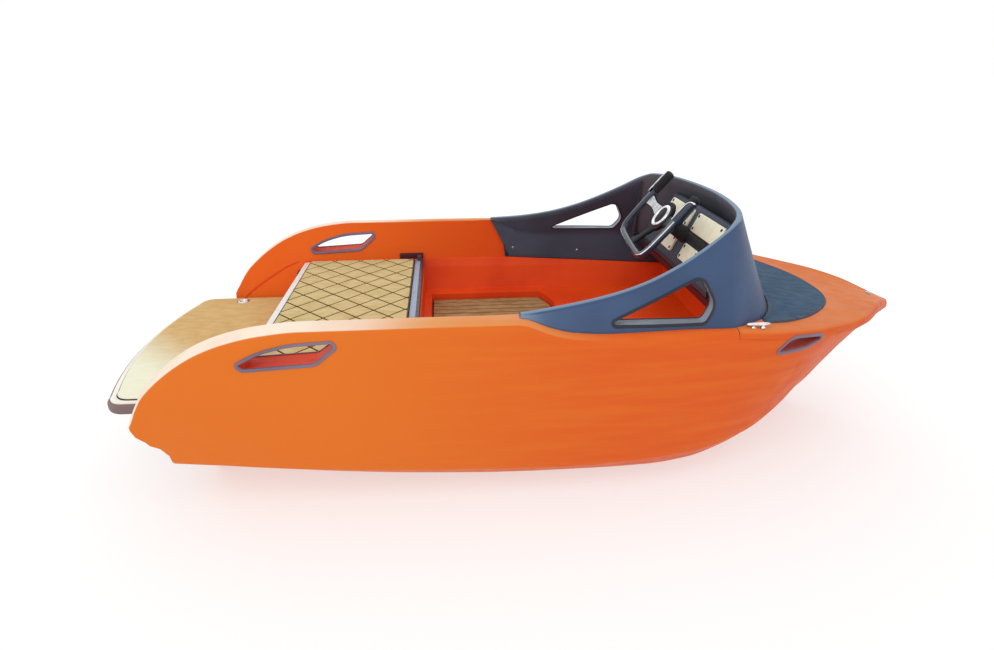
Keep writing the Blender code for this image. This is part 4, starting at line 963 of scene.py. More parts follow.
@dataclass(frozen=True)
class HullForm:
    """Lines of the hull, read along x as monotone cubics through its stations.

    Attributes:
        deck_from: x where the foredeck begins and the hull's top drops by the deck's thickness.
        gunwale: radius of the rolled gunwale.
        deck: thickness of the foredeck at its edge.
        chine: reach of the chine's rounding along both faces.
        groove: greatest depth of the groove in the bottom.
        bottom: shares of the runner's half-breadth and of the groove's depth along the bottom.
        wall_z, wall_at, wall_lean: the cockpit's wall is at wall_at + wall_lean * (z - wall_z).
        bulge_x, bulge: how far the side's middle is out from the chine, as a share of the flare.
        crown_x, crown: rise of the deck's middle over its edge.
        stations: x, half-breadth and height of the sheer, then of the chine, then of the runner, and the
            height of the keel.
    """

    deck_from: float = 0.620
    gunwale: float = 0.028
    deck: float = 0.030
    chine: float = 0.016
    groove: float = 0.045
    bottom: tuple = ((1.0, 0.0), (0.84, 0.0), (0.72, 1.0), (0.48, 1.0), (0.36, 0.0))
    wall_z: float = 0.42
    wall_at: float = 0.565
    wall_lean: float = 0.27
    bulge_x: tuple = (0.90, 1.33)
    bulge: tuple = (0.62, 0.42)
    crown_x: tuple = (0.620, 0.85, 1.19, 1.50, 1.61, 1.675)
    crown: tuple = (0.0, 0.006, -0.008, -0.016, -0.006, 0.002)
    stations: tuple = (
        (-1.520, 0.697, 0.435, 0.640, 0.226, 0.338, 0.0), (-1.490, 0.704, 0.490, 0.640, 0.224, 0.342, 0.0),
        (-1.455, 0.711, 0.545, 0.642, 0.222, 0.345, 0.0), (-1.400, 0.718, 0.600, 0.645, 0.218, 0.352, 0.0),
        (-1.330, 0.723, 0.655, 0.648, 0.212, 0.362, 0.0), (-1.246, 0.727, 0.705, 0.651, 0.205, 0.375, 0.0),
        (-1.150, 0.729, 0.742, 0.654, 0.195, 0.392, 0.0), (-1.040, 0.730, 0.767, 0.657, 0.184, 0.410, 0.0),
        (-0.900, 0.730, 0.780, 0.660, 0.172, 0.432, 0.0), (-0.550, 0.730, 0.780, 0.662, 0.150, 0.472, 0.0),
        (-0.170, 0.730, 0.778, 0.662, 0.135, 0.497, 0.0), (-0.050, 0.730, 0.736, 0.661, 0.131, 0.500, 0.0),
        (0.020, 0.730, 0.718, 0.660, 0.131, 0.500, 0.0), (0.150, 0.729, 0.708, 0.657, 0.133, 0.500, 0.0),
        (0.400, 0.722, 0.710, 0.645, 0.142, 0.492, 0.0), (0.600, 0.705, 0.701, 0.620, 0.162, 0.455, 0.0),
        (0.780, 0.676, 0.680, 0.570, 0.200, 0.375, 0.0), (0.950, 0.614, 0.656, 0.480, 0.256, 0.270, 0.0),
        (1.090, 0.545, 0.636, 0.385, 0.318, 0.160, 0.004), (1.220, 0.463, 0.617, 0.295, 0.372, 0.062, 0.030),
        (1.330, 0.382, 0.606, 0.222, 0.414, 0.022, 0.098), (1.430, 0.285, 0.598, 0.172, 0.442, 0.016, 0.226),
        (1.520, 0.186, 0.582, 0.118, 0.462, 0.014, 0.346), (1.610, 0.092, 0.548, 0.066, 0.478, 0.012, 0.440),
        (1.675, 0.024, 0.520, 0.018, 0.482, 0.008, 0.474))

    def read(self, column: int, x: Array) -> Array:
        """Column of the station table at places along the boat."""
        table = np.array(self.stations)
        return pchip(x, table[:, 0], table[:, column])

    def sheer(self, x: Array) -> tuple[Array, Array]:
        """Half-breadth and height of the sheer."""
        return self.read(1, x), self.read(2, x)

    def wall_y(self, z: Array) -> Array:
        """Half-breadth of the cockpit's leaning wall at a height."""
        return self.wall_at + self.wall_lean * (np.asarray(z) - self.wall_z)

    def deck_z(self, x: Array, y: Array) -> Array:
        """Height of the foredeck: sheer + crown * (1 - (y / half-breadth)^2).

        Args:
            x, y: places on the deck.

        Returns:
            The heights.
        """
        edge, top = self.sheer(x)
        share = np.clip(np.abs(y) / edge, 0.0, 1.0)
        return top + np.interp(x, self.crown_x, self.crown) * (1 - share ** 2)

    def side_curve(self, x: Array) -> tuple[Array, Array, Array]:
        """Ends and handle of the side's parabola, each as half-breadth and height.

        Args:
            x: places along the boat.

        Returns:
            Upper end, handle and chine. The handle makes the curve pass the bulging middle point.
        """
        breadth, top = self.sheer(x)
        top = np.where(np.asarray(x) < self.deck_from, top - self.gunwale, top - self.deck - 3 * GAP)
        upper = np.stack([breadth, top], -1)
        chine = np.stack([self.read(3, x), self.read(4, x)], -1)
        bulge = np.interp(x, self.bulge_x, self.bulge)
        middle_y = chine[..., 0] + bulge * (breadth - chine[..., 0])
        middle = np.stack([middle_y, (upper[..., 1] + chine[..., 1]) / 2], -1)
        return upper, 2 * middle - (upper + chine) / 2, chine

    def side_y(self, x: Array, z: Array) -> Array:
        """Half-breadth of the hull's side at a height, where t falls evenly from the sheer to the chine.

        Args:
            x, z: places on the side.

        Returns:
            The half-breadths.
        """
        upper, handle, chine = self.side_curve(x)
        t = np.clip((upper[..., 1] - z) / (upper[..., 1] - chine[..., 1]), 0.0, 1.0)
        return bent(t, upper[..., 0], handle[..., 0], chine[..., 0])

    def half_rings(self, x: Array) -> Array:
        """Port half sections: elliptical roll, parabola, rounded chine, straight bottom with a tunnel groove.

        Args:
            x: places along the boat.

        Returns:
            Points of shape places, points, 3, from the top's middle to the bottom's.
        """
        count = len(x)
        breadth, top = self.sheer(x)
        aft = (x < self.deck_from)[:, None]
        turn = np.linspace(0.0, math.pi / 2, 7)[None]
        roll_y = breadth[:, None] - 1.2 * self.gunwale * (1 - np.sin(turn))
        roll_z = top[:, None] - self.gunwale * (1 - np.cos(turn))
        flat_y = breadth[:, None] * np.linspace(0.90, 1.0, 7)[None]
        flat_z = (top - self.deck - GAP)[:, None] - 2 * GAP * np.linspace(0.0, 1.0, 7)[None]
        roll = np.stack([np.where(aft, roll_y, flat_y), np.where(aft, roll_z, flat_z)], -1)
        upper, handle, chine = (part[:, None] for part in self.side_curve(x))
        length = np.linalg.norm(upper - chine, axis=-1, keepdims=True)
        last = 1 - np.minimum(0.3, self.chine / np.maximum(length, 1e-6))
        t = np.linspace(0.0, 1.0, 14)[None, 1:, None] * last
        side = bent(t, upper, handle, chine)
        runner, keel = self.read(5, x), self.read(6, x)
        groove = np.minimum(self.groove, 0.10 * runner)
        bottom = np.stack([np.stack([runner * share, keel + groove * lift], -1) for share, lift in self.bottom], 1)
        way = bottom[:, :1] - chine
        reach = np.minimum(self.chine / np.maximum(np.linalg.norm(way, axis=-1, keepdims=True), 1e-6), 0.4)
        bend = bent(np.linspace(0.0, 1.0, 6)[None, 1:, None], side[:, -1:], chine, chine + way * reach)
        half = np.concatenate([roll, side, bend, bottom], 1)
        return np.concatenate([np.broadcast_to(x[:, None, None], (count, half.shape[1], 1)), half], -1)


def full(half: Array) -> Array:
    """Whole sections from port halves: the half, then its mirror image in reverse."""
    return np.concatenate([half, (half * (1.0, -1.0, 1.0))[:, ::-1]], 1)


@dataclass
class Hull:
    """Outer moulding with rolled gunwales, stern wings, jet duct and hand slots.

    Attributes:
        form: lines of the hull.
        aft_slot, aft_radius: outline of the stern hand slot and the radius of its corners.
        bow_slot, bow_radius, pocket: the same for the bow recess, and its depth.
        inner_roll: radius of the gunwale's inner edge.
        roll_end, roll_fade: x where that radius ends and the length over which it fades.
        tub_front: forward end of the cockpit's cut.
        steps, floors: x of the two steps in the cut's floor, and heights of the floor from aft forwards.
        well, well_z: port half of the footwell's plan, and the lower and upper end of its cut.
        rake: x and z of the cut that shapes the transom and the ends of the wings.
        crease, bead: x and z along the crease on each wing's inner wall, and half-width and height of its bead.
        bore, mouth: x, z and radius of the jet's bore, and x, z and half-axes of the intake's mouth.
        transom, bay, tunnel, keel: opposite corners of the boxes that are cut out.
    """

    form: HullForm
    aft_slot: tuple = ((-1.118, 0.650), (-1.100, 0.629), (-0.858, 0.6415), (-0.784, 0.703), (-0.793, 0.724),
                       (-0.940, 0.7165), (-1.043, 0.690))
    aft_radius: tuple = (0.010, 0.018, 0.045, 0.012, 0.011, 0.400, 0.400)
    bow_slot: tuple = ((0.782, 0.590), (0.930, 0.583), (1.004, 0.603), (0.995, 0.626), (0.845, 0.649))
    bow_radius: tuple = (0.009, 0.060, 0.010, 0.010, 0.060)
    pocket: float = 0.055
    inner_roll: float = 0.009
    roll_end: float = -0.17
    roll_fade: float = 0.10
    tub_front: float = 0.80
    steps: tuple = (-1.430, -1.150)
    floors: tuple = (0.30, 0.3717, 0.4097)
    well: tuple = ((0.1453, 0.0), (0.1453, 0.350), (0.0902, 0.5003), (-0.5003, 0.5003))
    well_z: tuple = (0.3727, 0.43)
    rake: tuple = ((-1.80, 0.440), (-1.530, 0.440), (-1.512, 0.365), (-1.487, 0.335), (-1.480, 0.318),
                   (-1.450, 0.300), (-1.430, 0.262), (-1.425, -0.10), (-1.80, -0.10))
    crease: tuple = ((-1.493, 0.389), (-1.448, 0.434), (-1.382, 0.483), (-1.312, 0.527), (-1.242, 0.566),
                     (-1.178, 0.590))
    bead: tuple = (0.006, 0.0011)
    bore: tuple = (-1.152, 0.160, 0.073)
    mouth: tuple = (-0.912, -0.02, 0.137, 0.094)
    transom: tuple = ((-1.80, -0.600, -0.1), (-1.405, 0.600, 0.350))
    bay: tuple = ((-1.080, -0.330, 0.250), (-0.600, 0.330, 0.45))
    tunnel: tuple = ((-1.80, -0.110, -0.1), (-1.150, 0.110, 0.270))
    keel: tuple = ((-1.80, -0.125, -0.1), (-0.755, 0.125, 0.0135))

    def cockpit_cutter(self) -> Object:
        """Space of the cockpit and the platform between the leaning walls, flared by a quarter circle where it
        leaves the gunwale.

        Returns:
            The cutter.
        """
        x = np.sort(np.concatenate([np.arange(-1.80, self.tub_front - 0.01, 0.03), np.subtract(self.steps, GAP),
                                    np.add(self.steps, GAP), [self.tub_front]]))
        top = self.form.sheer(np.clip(x, -1.52, 2.0))[1]
        fade = np.clip((self.roll_end - x) / self.roll_fade, 0.0, 1.0)
        radius = self.inner_roll * fade * fade * (3 - 2 * fade) + 0.0004
        turn = np.linspace(0.0, math.pi / 2, 6)[None]
        arc_z = (top - radius)[:, None] + (radius[:, None] + GAP) * np.sin(turn)
        arc_y = self.form.wall_y(top)[:, None] + radius[:, None] * (1 - np.cos(turn))
        low = np.array(self.floors)[np.searchsorted(self.steps, x, side="right")][:, None]
        half = np.stack([np.concatenate([arc_y[:, -1:], arc_y[:, ::-1], self.form.wall_y(low)], 1),
                         np.concatenate([np.full((len(x), 1), 1.2), arc_z[:, ::-1], low], 1)], -1)
        along = np.broadcast_to(x[:, None, None], (*half.shape[:2], 1))
        return Piece("cut_cockpit").tube(full(np.concatenate([along, half], -1))).build()

    def duct_cutter(self) -> Object:
        """Intake duct: points of the round bore slide evenly to points of the mouth's ellipse.

        Returns:
            The cutter.
        """
        angle = np.linspace(0.0, 2 * math.pi, 48, endpoint=False)
        x, z, radius = self.bore
        bore = np.stack([0 * angle + x, radius * np.cos(angle), z + radius * np.sin(angle)], 1)
        x, z, along, across = self.mouth
        mouth = np.stack([x + along * np.sin(angle), across * np.cos(angle), 0 * angle + z], 1)
        share = np.linspace(0.0, 1.0, 13)[:, None, None]
        return Piece("cut_duct").tube(bore * (1 - share) + mouth * share).build()

    def pocket_cutter(self, side: Side) -> Object:
        """Bow recess: its outline at two distances from the hull's side.

        Args:
            side: side of the boat.

        Returns:
            The cutter.
        """
        outline = rounded(self.bow_slot, self.bow_radius)
        y = self.form.side_y(outline[:, 0], outline[:, 1])
        rings = np.array([np.stack([outline[:, 0], side.value * (y + step), outline[:, 1]], 1)
                          for step in (-self.pocket, 0.20)])
        return Piece("cut_pocket").tube(rings).build()

    def build(self) -> None:
        """Loft the skin, cut the cockpit, platform seat, transom, bays, duct and slots, and finish it."""
        break_x = self.form.deck_from
        x = np.unique(np.concatenate([np.arange(-1.52, 1.675, 0.026), [break_x - 0.001, break_x, 1.675],
                                      [row[0] for row in self.form.stations]]).round(4))
        hull = Piece("hull_skin").tube(full(self.form.half_rings(x))).build(Finish.HULL)
        cutters = [self.cockpit_cutter(), self.duct_cutter(),
                   block("cut_transom", *self.transom),
                   prism("cut_rake", np.array(self.rake), -0.9, 0.9, View.PROFILE),
                   prism("cut_well", mirrored(self.well), *self.well_z, View.PLAN),
                   block("cut_bay", *self.bay), block("cut_tunnel", *self.tunnel), block("cut_keel", *self.keel)]
        slot = rounded(self.aft_slot, self.aft_radius)
        for side in Side:
            cutters += [side_cutter("cut_slot", slot, side, 0.55, 0.80), self.pocket_cutter(side)]
        carve(hull, cutters)
        shade(hull, 32.0)
        install(hull, "boat", "hull_orange", "hull")
        for side in Side:
            self.build_crease(side)

    def build_crease(self, side: Side) -> None:
        """Bead along the crease of a wing's inner wall: a flat half-oval swept on the wall.

        Args:
            side: side of the boat.
        """
        flat = smooth_path([(x, self.form.wall_y(z), z) for x, z in self.crease], 60)
        flat[:, 1] = side.value * self.form.wall_y(flat[:, 2])
        taper = np.sin(np.linspace(0.0, math.pi, 60))[:, None, None] ** 0.3
        section = oval(*self.bead, 14)[None] * taper
        rings = swept(flat, np.array([0.0, -side.value, self.form.wall_lean]), section)
        install(Piece("wing_crease_" + side.label).tube(rings).build(Finish.TUB), "boat", "hull_orange")


@dataclass
class HoleTrim:
    """Moulded edging of a hole in a wall: a flange on each face and a sleeve between them.

    Attributes:
        reach: how far the flange covers the wall round the hole.
        sleeve: how far the sleeve comes into the hole.
        proud: height of the flange over the face.
        sleeve_column: which column of faces joins the two lips.
    """

    reach: float = 0.010
    sleeve: float = 0.009
    proud: float = 0.004
    sleeve_column: int = 8

    def rings(self, outline: Array, outer: Callable, inner: Callable, side: Side) -> Array:
        """C-shaped section carried round the hole, each point at outline + normal * across.

        Args:
            outline: evenly spaced x and z of the hole.
            outer, inner: half-breadth of the wall's two faces at x and z.
            side: side of the boat.

        Returns:
            Grid of shape outline points, section points, 3.
        """
        normal = outward(outline)
        out, into, proud = self.reach, -self.sleeve, self.proud
        lip = [(out, -0.0006), (out, 0.55 * proud), (out - 0.3 * proud, 0.85 * proud), (out - 0.9 * proud, proud),
               (0.2 * into, proud), (0.62 * into, 0.72 * proud), (0.9 * into, 0.2 * proud), (into, -0.8 * proud),
               (0.35 * into, -1.3 * proud)]
        section = [(*row, 1) for row in lip] + [(*row, -1) for row in lip[::-1] + [(0.0, -0.0006)]]
        columns = []
        for across, lift, face in section + [(0.0, -0.0006, 1)]:
            flat = outline + normal * across
            base = (outer if face > 0 else inner)(flat[:, 0], flat[:, 1])
            columns.append(np.stack([flat[:, 0], side.value * (base + face * lift), flat[:, 1]], 1))
        return np.stack(columns, 1)

    def build(self, name: str, outline: Array, outer: Callable, inner: Callable, side: Side,
              *finishes: Finish) -> Object:
        """Return the trim as an object, whose sleeve between the lips takes the last finish.

        Args:
            name: name of the trim.
            outline, outer, inner, side: as in rings.
            finishes: finish of the flanges and, last, of the sleeve.

        Returns:
            The trim.
        """
        rings = self.rings(outline, outer, inner, side)
        slots = (np.arange(rings.shape[1]) == self.sleeve_column) * (len(finishes) - 1)
        piece = Piece(name).grid(rings, slots[None], wrap_rows=True, wrap_columns=True)
        return piece.build(*finishes, angle=50.0)


@dataclass
class HandSlots:
    """Trims of the stern hand slots and cups of the bow recesses.

    Attributes:
        hull: the moulding that they sit in.
        aft_trim: edging of the stern slots.
        cup_wall: how far a cup's wall stands inside its outline.
        flange: how far each point of a cup's flange lies outside the outline, and its height over the hull.
    """

    hull: Hull
    aft_trim: HoleTrim = field(default_factory=lambda: HoleTrim(0.0075, 0.0055, 0.0040))
    cup_wall: float = 0.006
    flange: tuple = ((0.007, -0.0006), (0.007, 0.0018), (0.0055, 0.0030), (-0.002, 0.0030), (-0.0045, 0.0015))

    def build(self) -> None:
        """Build both sides."""
        form = self.hull.form
        aft = resampled(rounded(self.hull.aft_slot, self.hull.aft_radius, 12), 0.006)
        for side in Side:
            trim = self.aft_trim.build("hand_slot_" + side.label, aft, form.side_y, lambda x, z: form.wall_y(z),
                                       side, Finish.SLOT_TRIM, Finish.TUB)
            install(trim, "boat", "edge_rubber", "handle_trim_aft_" + side.label)
            self.build_cup(side)

    def build_cup(self, side: Side) -> None:
        """Cup of a bow recess: a flange on the side, walls that follow the outline and a dark bottom.

        Args:
            side: side of the boat.
        """
        form = self.hull.form
        outline = resampled(rounded(self.hull.bow_slot, self.hull.bow_radius, 12), 0.005)
        normal = outward(outline)
        wall = self.cup_wall
        rings = []
        for across, step in (*self.flange, (-wall, -0.002), (-wall, -0.020), (-wall, 0.008 - self.hull.pocket),
                             (-wall - 0.004, 0.003 - self.hull.pocket)):
            flat = outline + normal * across
            y = form.side_y(flat[:, 0], flat[:, 1]) + step
            rings.append(np.stack([flat[:, 0], side.value * y, flat[:, 1]], 1))
        slots = np.array([0, 0, 0, 0, 0, 1, 1, 1])[:, None]
        piece = Piece("bow_recess_" + side.label).grid(np.array(rings), slots, wrap_columns=True).cap(rings[-1], 1)
        cup = piece.build(Finish.SLOT_TRIM, Finish.RECESS, angle=50.0)
        solid = cup.modifiers.new("wall", "SOLIDIFY")
        solid.thickness, solid.offset = 0.0008, 0.0
        bake_modifiers(cup)
        shade(cup, 50.0)
        install(cup, "boat", "edge_rubber", "handle_trim_bow_" + side.label)


@dataclass
class Foredeck:
    """Crowned deck moulding and the foam tongue on it.

    Attributes:
        hull, cowl: the mouldings that it meets.
        pad_outer: port half of the tongue's front edge.
        pad_clear: gap between its aft edge and the cowl.
        pad_thickness, pad_edge: height and edge radius of the foam.
        border, seam: width of the dark band round it, and half-width and depth of the groove beside the band.
        lip: height of the deck's upright edge.
    """

    hull: Hull
    cowl: "Cowl"
    pad_outer: tuple = ((0.763, 0.599), (0.850, 0.573), (0.920, 0.535), (0.990, 0.487), (1.060, 0.427),
                        (1.130, 0.357), (1.190, 0.285), (1.240, 0.208), (1.270, 0.132), (1.284, 0.062),
                        (1.287, 0.0))
    pad_clear: float = 0.0010
    pad_thickness: float = 0.0085
    pad_edge: float = 0.0035
    border: float = 0.013
    seam: tuple = (0.0011, 0.0022)
    lip: float = 0.004

    def build(self) -> None:
        """Build the deck, then its pad."""
        form = self.hull.form
        x = np.unique(np.concatenate([[form.deck_from + GAP], np.arange(0.64, 1.675, 0.02), [1.675]]))
        edge, top = form.sheer(x)
        radius = np.minimum(form.gunwale, 0.6 * edge)[:, None]
        low = (top - form.deck)[:, None]
        turn = np.linspace(0.0, math.pi / 2, 9)[None]
        roll_y = edge[:, None] - radius * (1 - np.cos(turn))
        roll_z = low + self.lip + (form.deck - self.lip) * np.sin(turn)
        share = np.linspace(1.0, 0.0, 17)[None, 1:-1]
        flat_y = (edge[:, None] - radius) * share
        flat_z = form.deck_z(np.broadcast_to(x[:, None], flat_y.shape), flat_y)
        roll_z[:, -1] = form.deck_z(x, roll_y[:, -1])
        half_y = np.concatenate([0.5 * edge[:, None], edge[:, None], roll_y, flat_y], 1)
        half_z = np.concatenate([low, low, roll_z, flat_z], 1)
        along = np.broadcast_to(x[:, None], half_y.shape)
        deck = Piece("deck_skin").tube(full(np.stack([along, half_y, half_z], -1))).build(Finish.HULL)
        carve(deck, [self.hull.pocket_cutter(side) for side in Side])
        shade(deck, 40.0)
        install(deck, "boat", "hull_orange", "foredeck")
        self.build_pad()

    def build_pad(self) -> None:
        """Foam tongue: a grid between its two edges, raised over the deck by a quarter-ellipse of the distance
        to the nearest edge."""
        form = self.hull.form
        foot = self.cowl.smooth_rows(961)[:, :2]
        way = unit(np.gradient(foot, axis=0))
        foot = foot + self.pad_clear * np.stack([-way[:, 1], way[:, 0]], 1)
        foot = foot[(foot[:, 0] > 0.764) & (foot[:, 1] >= 0.0)]
        curves = []
        for edge in (np.vstack([foot[::8], foot[-1:] * (1.0, 0.0)]), self.pad_outer):
            curves.append(mirrored(smooth_path(edge, 70)))
        inner, outer = curves
        near = np.concatenate([[0.0], np.geomspace(0.0004, 0.02, 12)])
        width = np.linalg.norm(outer - inner, axis=1)[:, None]
        middle = np.linspace(0.0, 1.0, 16)[None, 1:-1]
        near = np.minimum(near[None], 0.42 * width)
        last = near[:, -1:]
        across = np.concatenate([near, last + (width - 2 * last) * middle, width - near[:, ::-1]], 1) / width
        flat = inner[:, None] * (1 - across[..., None]) + outer[:, None] * across[..., None]
        border = np.vstack([inner, outer[::-1]])
        way = np.roll(border, -1, 0) - border
        offset = flat[:, :, None] - border
        t = np.clip((offset * way).sum(-1) / np.maximum((way * way).sum(-1), 1e-12), 0.0, 1.0)
        distance = np.linalg.norm(offset - t[..., None] * way, axis=-1).min(2)
        ratio = np.clip(distance / self.pad_edge, 0.0, 1.0)
        height = 0.0004 + self.pad_thickness * np.sqrt(1 - (1 - ratio) ** 2)
        height = height - self.seam[1] * np.exp(-((distance - self.border) / self.seam[0]) ** 2)
        base = form.deck_z(flat[..., 0], flat[..., 1])
        top = np.concatenate([flat, (base + height)[..., None]], -1)
        bottom = np.concatenate([flat, (base + 0.0004)[..., None]], -1)
        facing = (distance[:-1, :-1] + distance[1:, 1:]) / 2
        piece = Piece("foredeck_foam").grid(top, (facing < self.border).astype(int)).grid(bottom, 1)
        pad = piece.build(Finish.TEAL, Finish.TEAL_EDGE, angle=50.0)
        install_pad(pad, "boat", "pad_slate", "foredeck_pad")


@dataclass
class Cowl:
    """Wrap-round steering cowl with its inner panels, windows and window trims.

    Attributes:
        form: lines of the hull.
        rows: foot x, foot y, rim x, rim y and rim z of the port half, from the aft tip to the middle.
        rim, foot: thickness of the wall at its rim and foot.
        rim_round, inside_from: height of the rim's rounding, and the angle over it where the inside's colour begins.
        beside: number of rows that stand beside the cockpit.
        window, window_radius: outline of the side window.
        panel, ledge: thickness of the inner panels, and x and z of their lower edge's ends.
        panel_in, below_rim: how far they stand in from the wall, and how far under its rim they end.
        screws, screw: x and z of the screws in each inner panel, and radius and height along a head.
        trim: edging of the windows.
    """

    form: HullForm
    rows: tuple = (
        (-0.165, 0.700, -0.160, 0.690, 0.788), (-0.050, 0.700, -0.050, 0.672, 0.798),
        (0.020, 0.700, 0.020, 0.662, 0.806), (0.150, 0.699, 0.150, 0.648, 0.828),
        (0.280, 0.696, 0.280, 0.634, 0.864), (0.400, 0.690, 0.400, 0.611, 0.913),
        (0.500, 0.683, 0.500, 0.582, 0.964), (0.600, 0.672, 0.600, 0.542, 1.022),
        (0.700, 0.612, 0.655, 0.497, 1.043), (0.785, 0.540, 0.695, 0.430, 1.048),
        (0.850, 0.435, 0.728, 0.345, 1.050), (0.905, 0.300, 0.755, 0.235, 1.050),
        (0.940, 0.150, 0.772, 0.115, 1.050), (0.955, 0.0, 0.778, 0.0, 1.050))
    rim: float = 0.024
    foot: float = 0.040
    rim_round: float = 0.009
    inside_from: float = 2.4
    beside: int = 8
    window: tuple = ((0.165, 0.730), (0.500, 0.724), (0.542, 0.784), (0.500, 0.866), (0.470, 0.872),
                     (0.160, 0.746))
    window_radius: tuple = (0.020, 0.034, 0.050, 0.034, 0.034, 0.020)
    panel: float = 0.010
    panel_in: float = 0.0025
    below_rim: float = 0.020
    ledge: tuple = ((-0.10, 0.80), (0.590, 0.535))
    screws: tuple = ((-0.0484, 0.6357), (0.3023, 0.6147))
    screw: tuple = ((0.0065, 0.0), (0.0063, 0.0012), (0.0050, 0.0024), (0.0028, 0.0030), (0.0, 0.0031))
    trim: HoleTrim = field(default_factory=lambda: HoleTrim(0.0048, 0.0040, 0.0028))

    def table(self) -> Array:
        """Rows on both sides: outer foot, outer rim, inner foot and inner rim in plan, then the rim's height.

        Returns:
            Array of shape rows, 9.
        """
        row = np.array(self.rows)
        foot, rim = row[:, :2], row[:, 2:4]
        foot_in, rim_in = foot.copy(), rim.copy()
        foot_in[:self.beside, 1] = self.form.wall_y(self.form.sheer(foot[:self.beside, 0])[1])
        rim_in[:self.beside, 1] -= self.rim
        for line, inner, thick in ((foot, foot_in, self.foot), (rim, rim_in, self.rim)):
            ahead, behind = np.vstack([line[1:], line[-1:]]), np.vstack([line[:1], line[:-1]])
            way = unit(ahead - behind)
            way[-1] = (0.0, -1.0)
            inward = np.stack([way[:, 1], -way[:, 0]], 1)
            inner[self.beside:] = (line + inward * thick)[self.beside:]
        port = np.hstack([foot, rim, foot_in, rim_in, row[:, 4:]])
        flip = np.array([1, -1, 1, -1, 1, -1, 1, -1, 1.0])
        return np.vstack([port, (port * flip)[-2::-1]])

    def smooth_rows(self, count: int = 241) -> Array:
        """Table read evenly along the foot and the rim's mean length, each column a monotone cubic.

        Args:
            count: number of rows.

        Returns:
            Array of shape count, 9.
        """
        table = self.table()
        step = (np.linalg.norm(np.diff(table[:, :2], axis=0), axis=1)
                + np.linalg.norm(np.diff(table[:, 2:4], axis=0), axis=1)) / 2
        at = np.concatenate([[0.0], np.cumsum(step)])
        return np.stack([pchip(np.linspace(0.0, at[-1], count), at, column) for column in table.T], 1)

    def standing(self, plan_points: Array) -> Array:
        """Height of what the wall stands on: the gunwale, then the foredeck."""
        x, y = plan_points[:, 0], plan_points[:, 1]
        return np.where(x < self.form.deck_from, self.form.sheer(x)[1], self.form.deck_z(x, y)) + 2 * GAP

    def face(self, inner: bool) -> Callable:
        """Half-breadth of the wall's outer face, or of the panel's inner face, as a function of x and z.

        Args:
            inner: true for the panel's inner face.

        Returns:
            The function.
        """
        row = np.array(self.rows)[:self.beside]
        foot_y = self.form.wall_y(self.form.sheer(row[:, 0])[1]) if inner else row[:, 1]
        rim_y = row[:, 3] - (self.rim if inner else 0.0)

        def half_breadth(x: Array, z: Array) -> Array:
            """Straight line from the foot to the rim at x.

            Args:
                x, z: places on the face.

            Returns:
                The half-breadths.
            """
            low = self.form.sheer(x)[1]
            share = (z - low) / (pchip(x, row[:, 2], row[:, 4]) - low)
            foot = pchip(x, row[:, 0], foot_y)
            return foot + (pchip(x, row[:, 2], rim_y) - foot) * share - (self.panel if inner else 0.0)

        return half_breadth

    def build(self) -> None:
        """Build the wall, the panels, their screws and the window trims."""
        row = self.smooth_rows()
        foot, rim, foot_in, rim_in, top = row[:, :2], row[:, 2:4], row[:, 4:6], row[:, 6:8], row[:, 8]
        low, low_in = self.standing(foot), self.standing(foot_in)
        round_z = np.minimum(self.rim_round, 0.3 * (top - low))
        columns, slots = [], []
        for share in np.linspace(0.0, 1.0, 13):
            flat = foot * (1 - share) + rim * share
            columns.append(np.column_stack([flat, low + (top - round_z - low) * share]))
            slots.append(0)
        middle, half = (rim + rim_in) / 2, (rim - rim_in) / 2
        for turn in np.linspace(0.0, math.pi, 11)[1:-1]:
            flat = middle + half * np.cos(turn)
            columns.append(np.column_stack([flat, top - round_z + round_z * np.sin(turn)]))
            slots.append(int(turn >= self.inside_from))
        for share in np.linspace(1.0, 0.0, 11):
            flat = foot_in * (1 - share) + rim_in * share
            columns.append(np.column_stack([flat, low_in + (top - round_z - low_in) * share]))
            slots.append(1)
        piece = Piece("cowl_shell").tube(np.stack(columns, 1), np.array(slots)[None])
        shell = piece.build(Finish.SLATE, Finish.SLATE_INSIDE)
        window = rounded(self.window, self.window_radius)
        carve(shell, [side_cutter("cut_window", window, side, 0.50, 0.80) for side in Side])
        bevel(shell, 0.003, 2, 50.0)
        shade(shell, 40.0)
        install(shell, "boat", "cowl_slate", "cowl")
        for side in Side:
            self.build_panel(side, window)
            self.build_screws(side)
            # The trim's sleeve takes the painted highlight.
            ring = self.trim.build("window_edge_" + side.label, resampled(window, 0.006), self.face(False),
                                   self.face(True), side, Finish.TRIM, Finish.LEDGE)
            install(ring, "boat", "black_plastic", "window_trim_" + side.label)

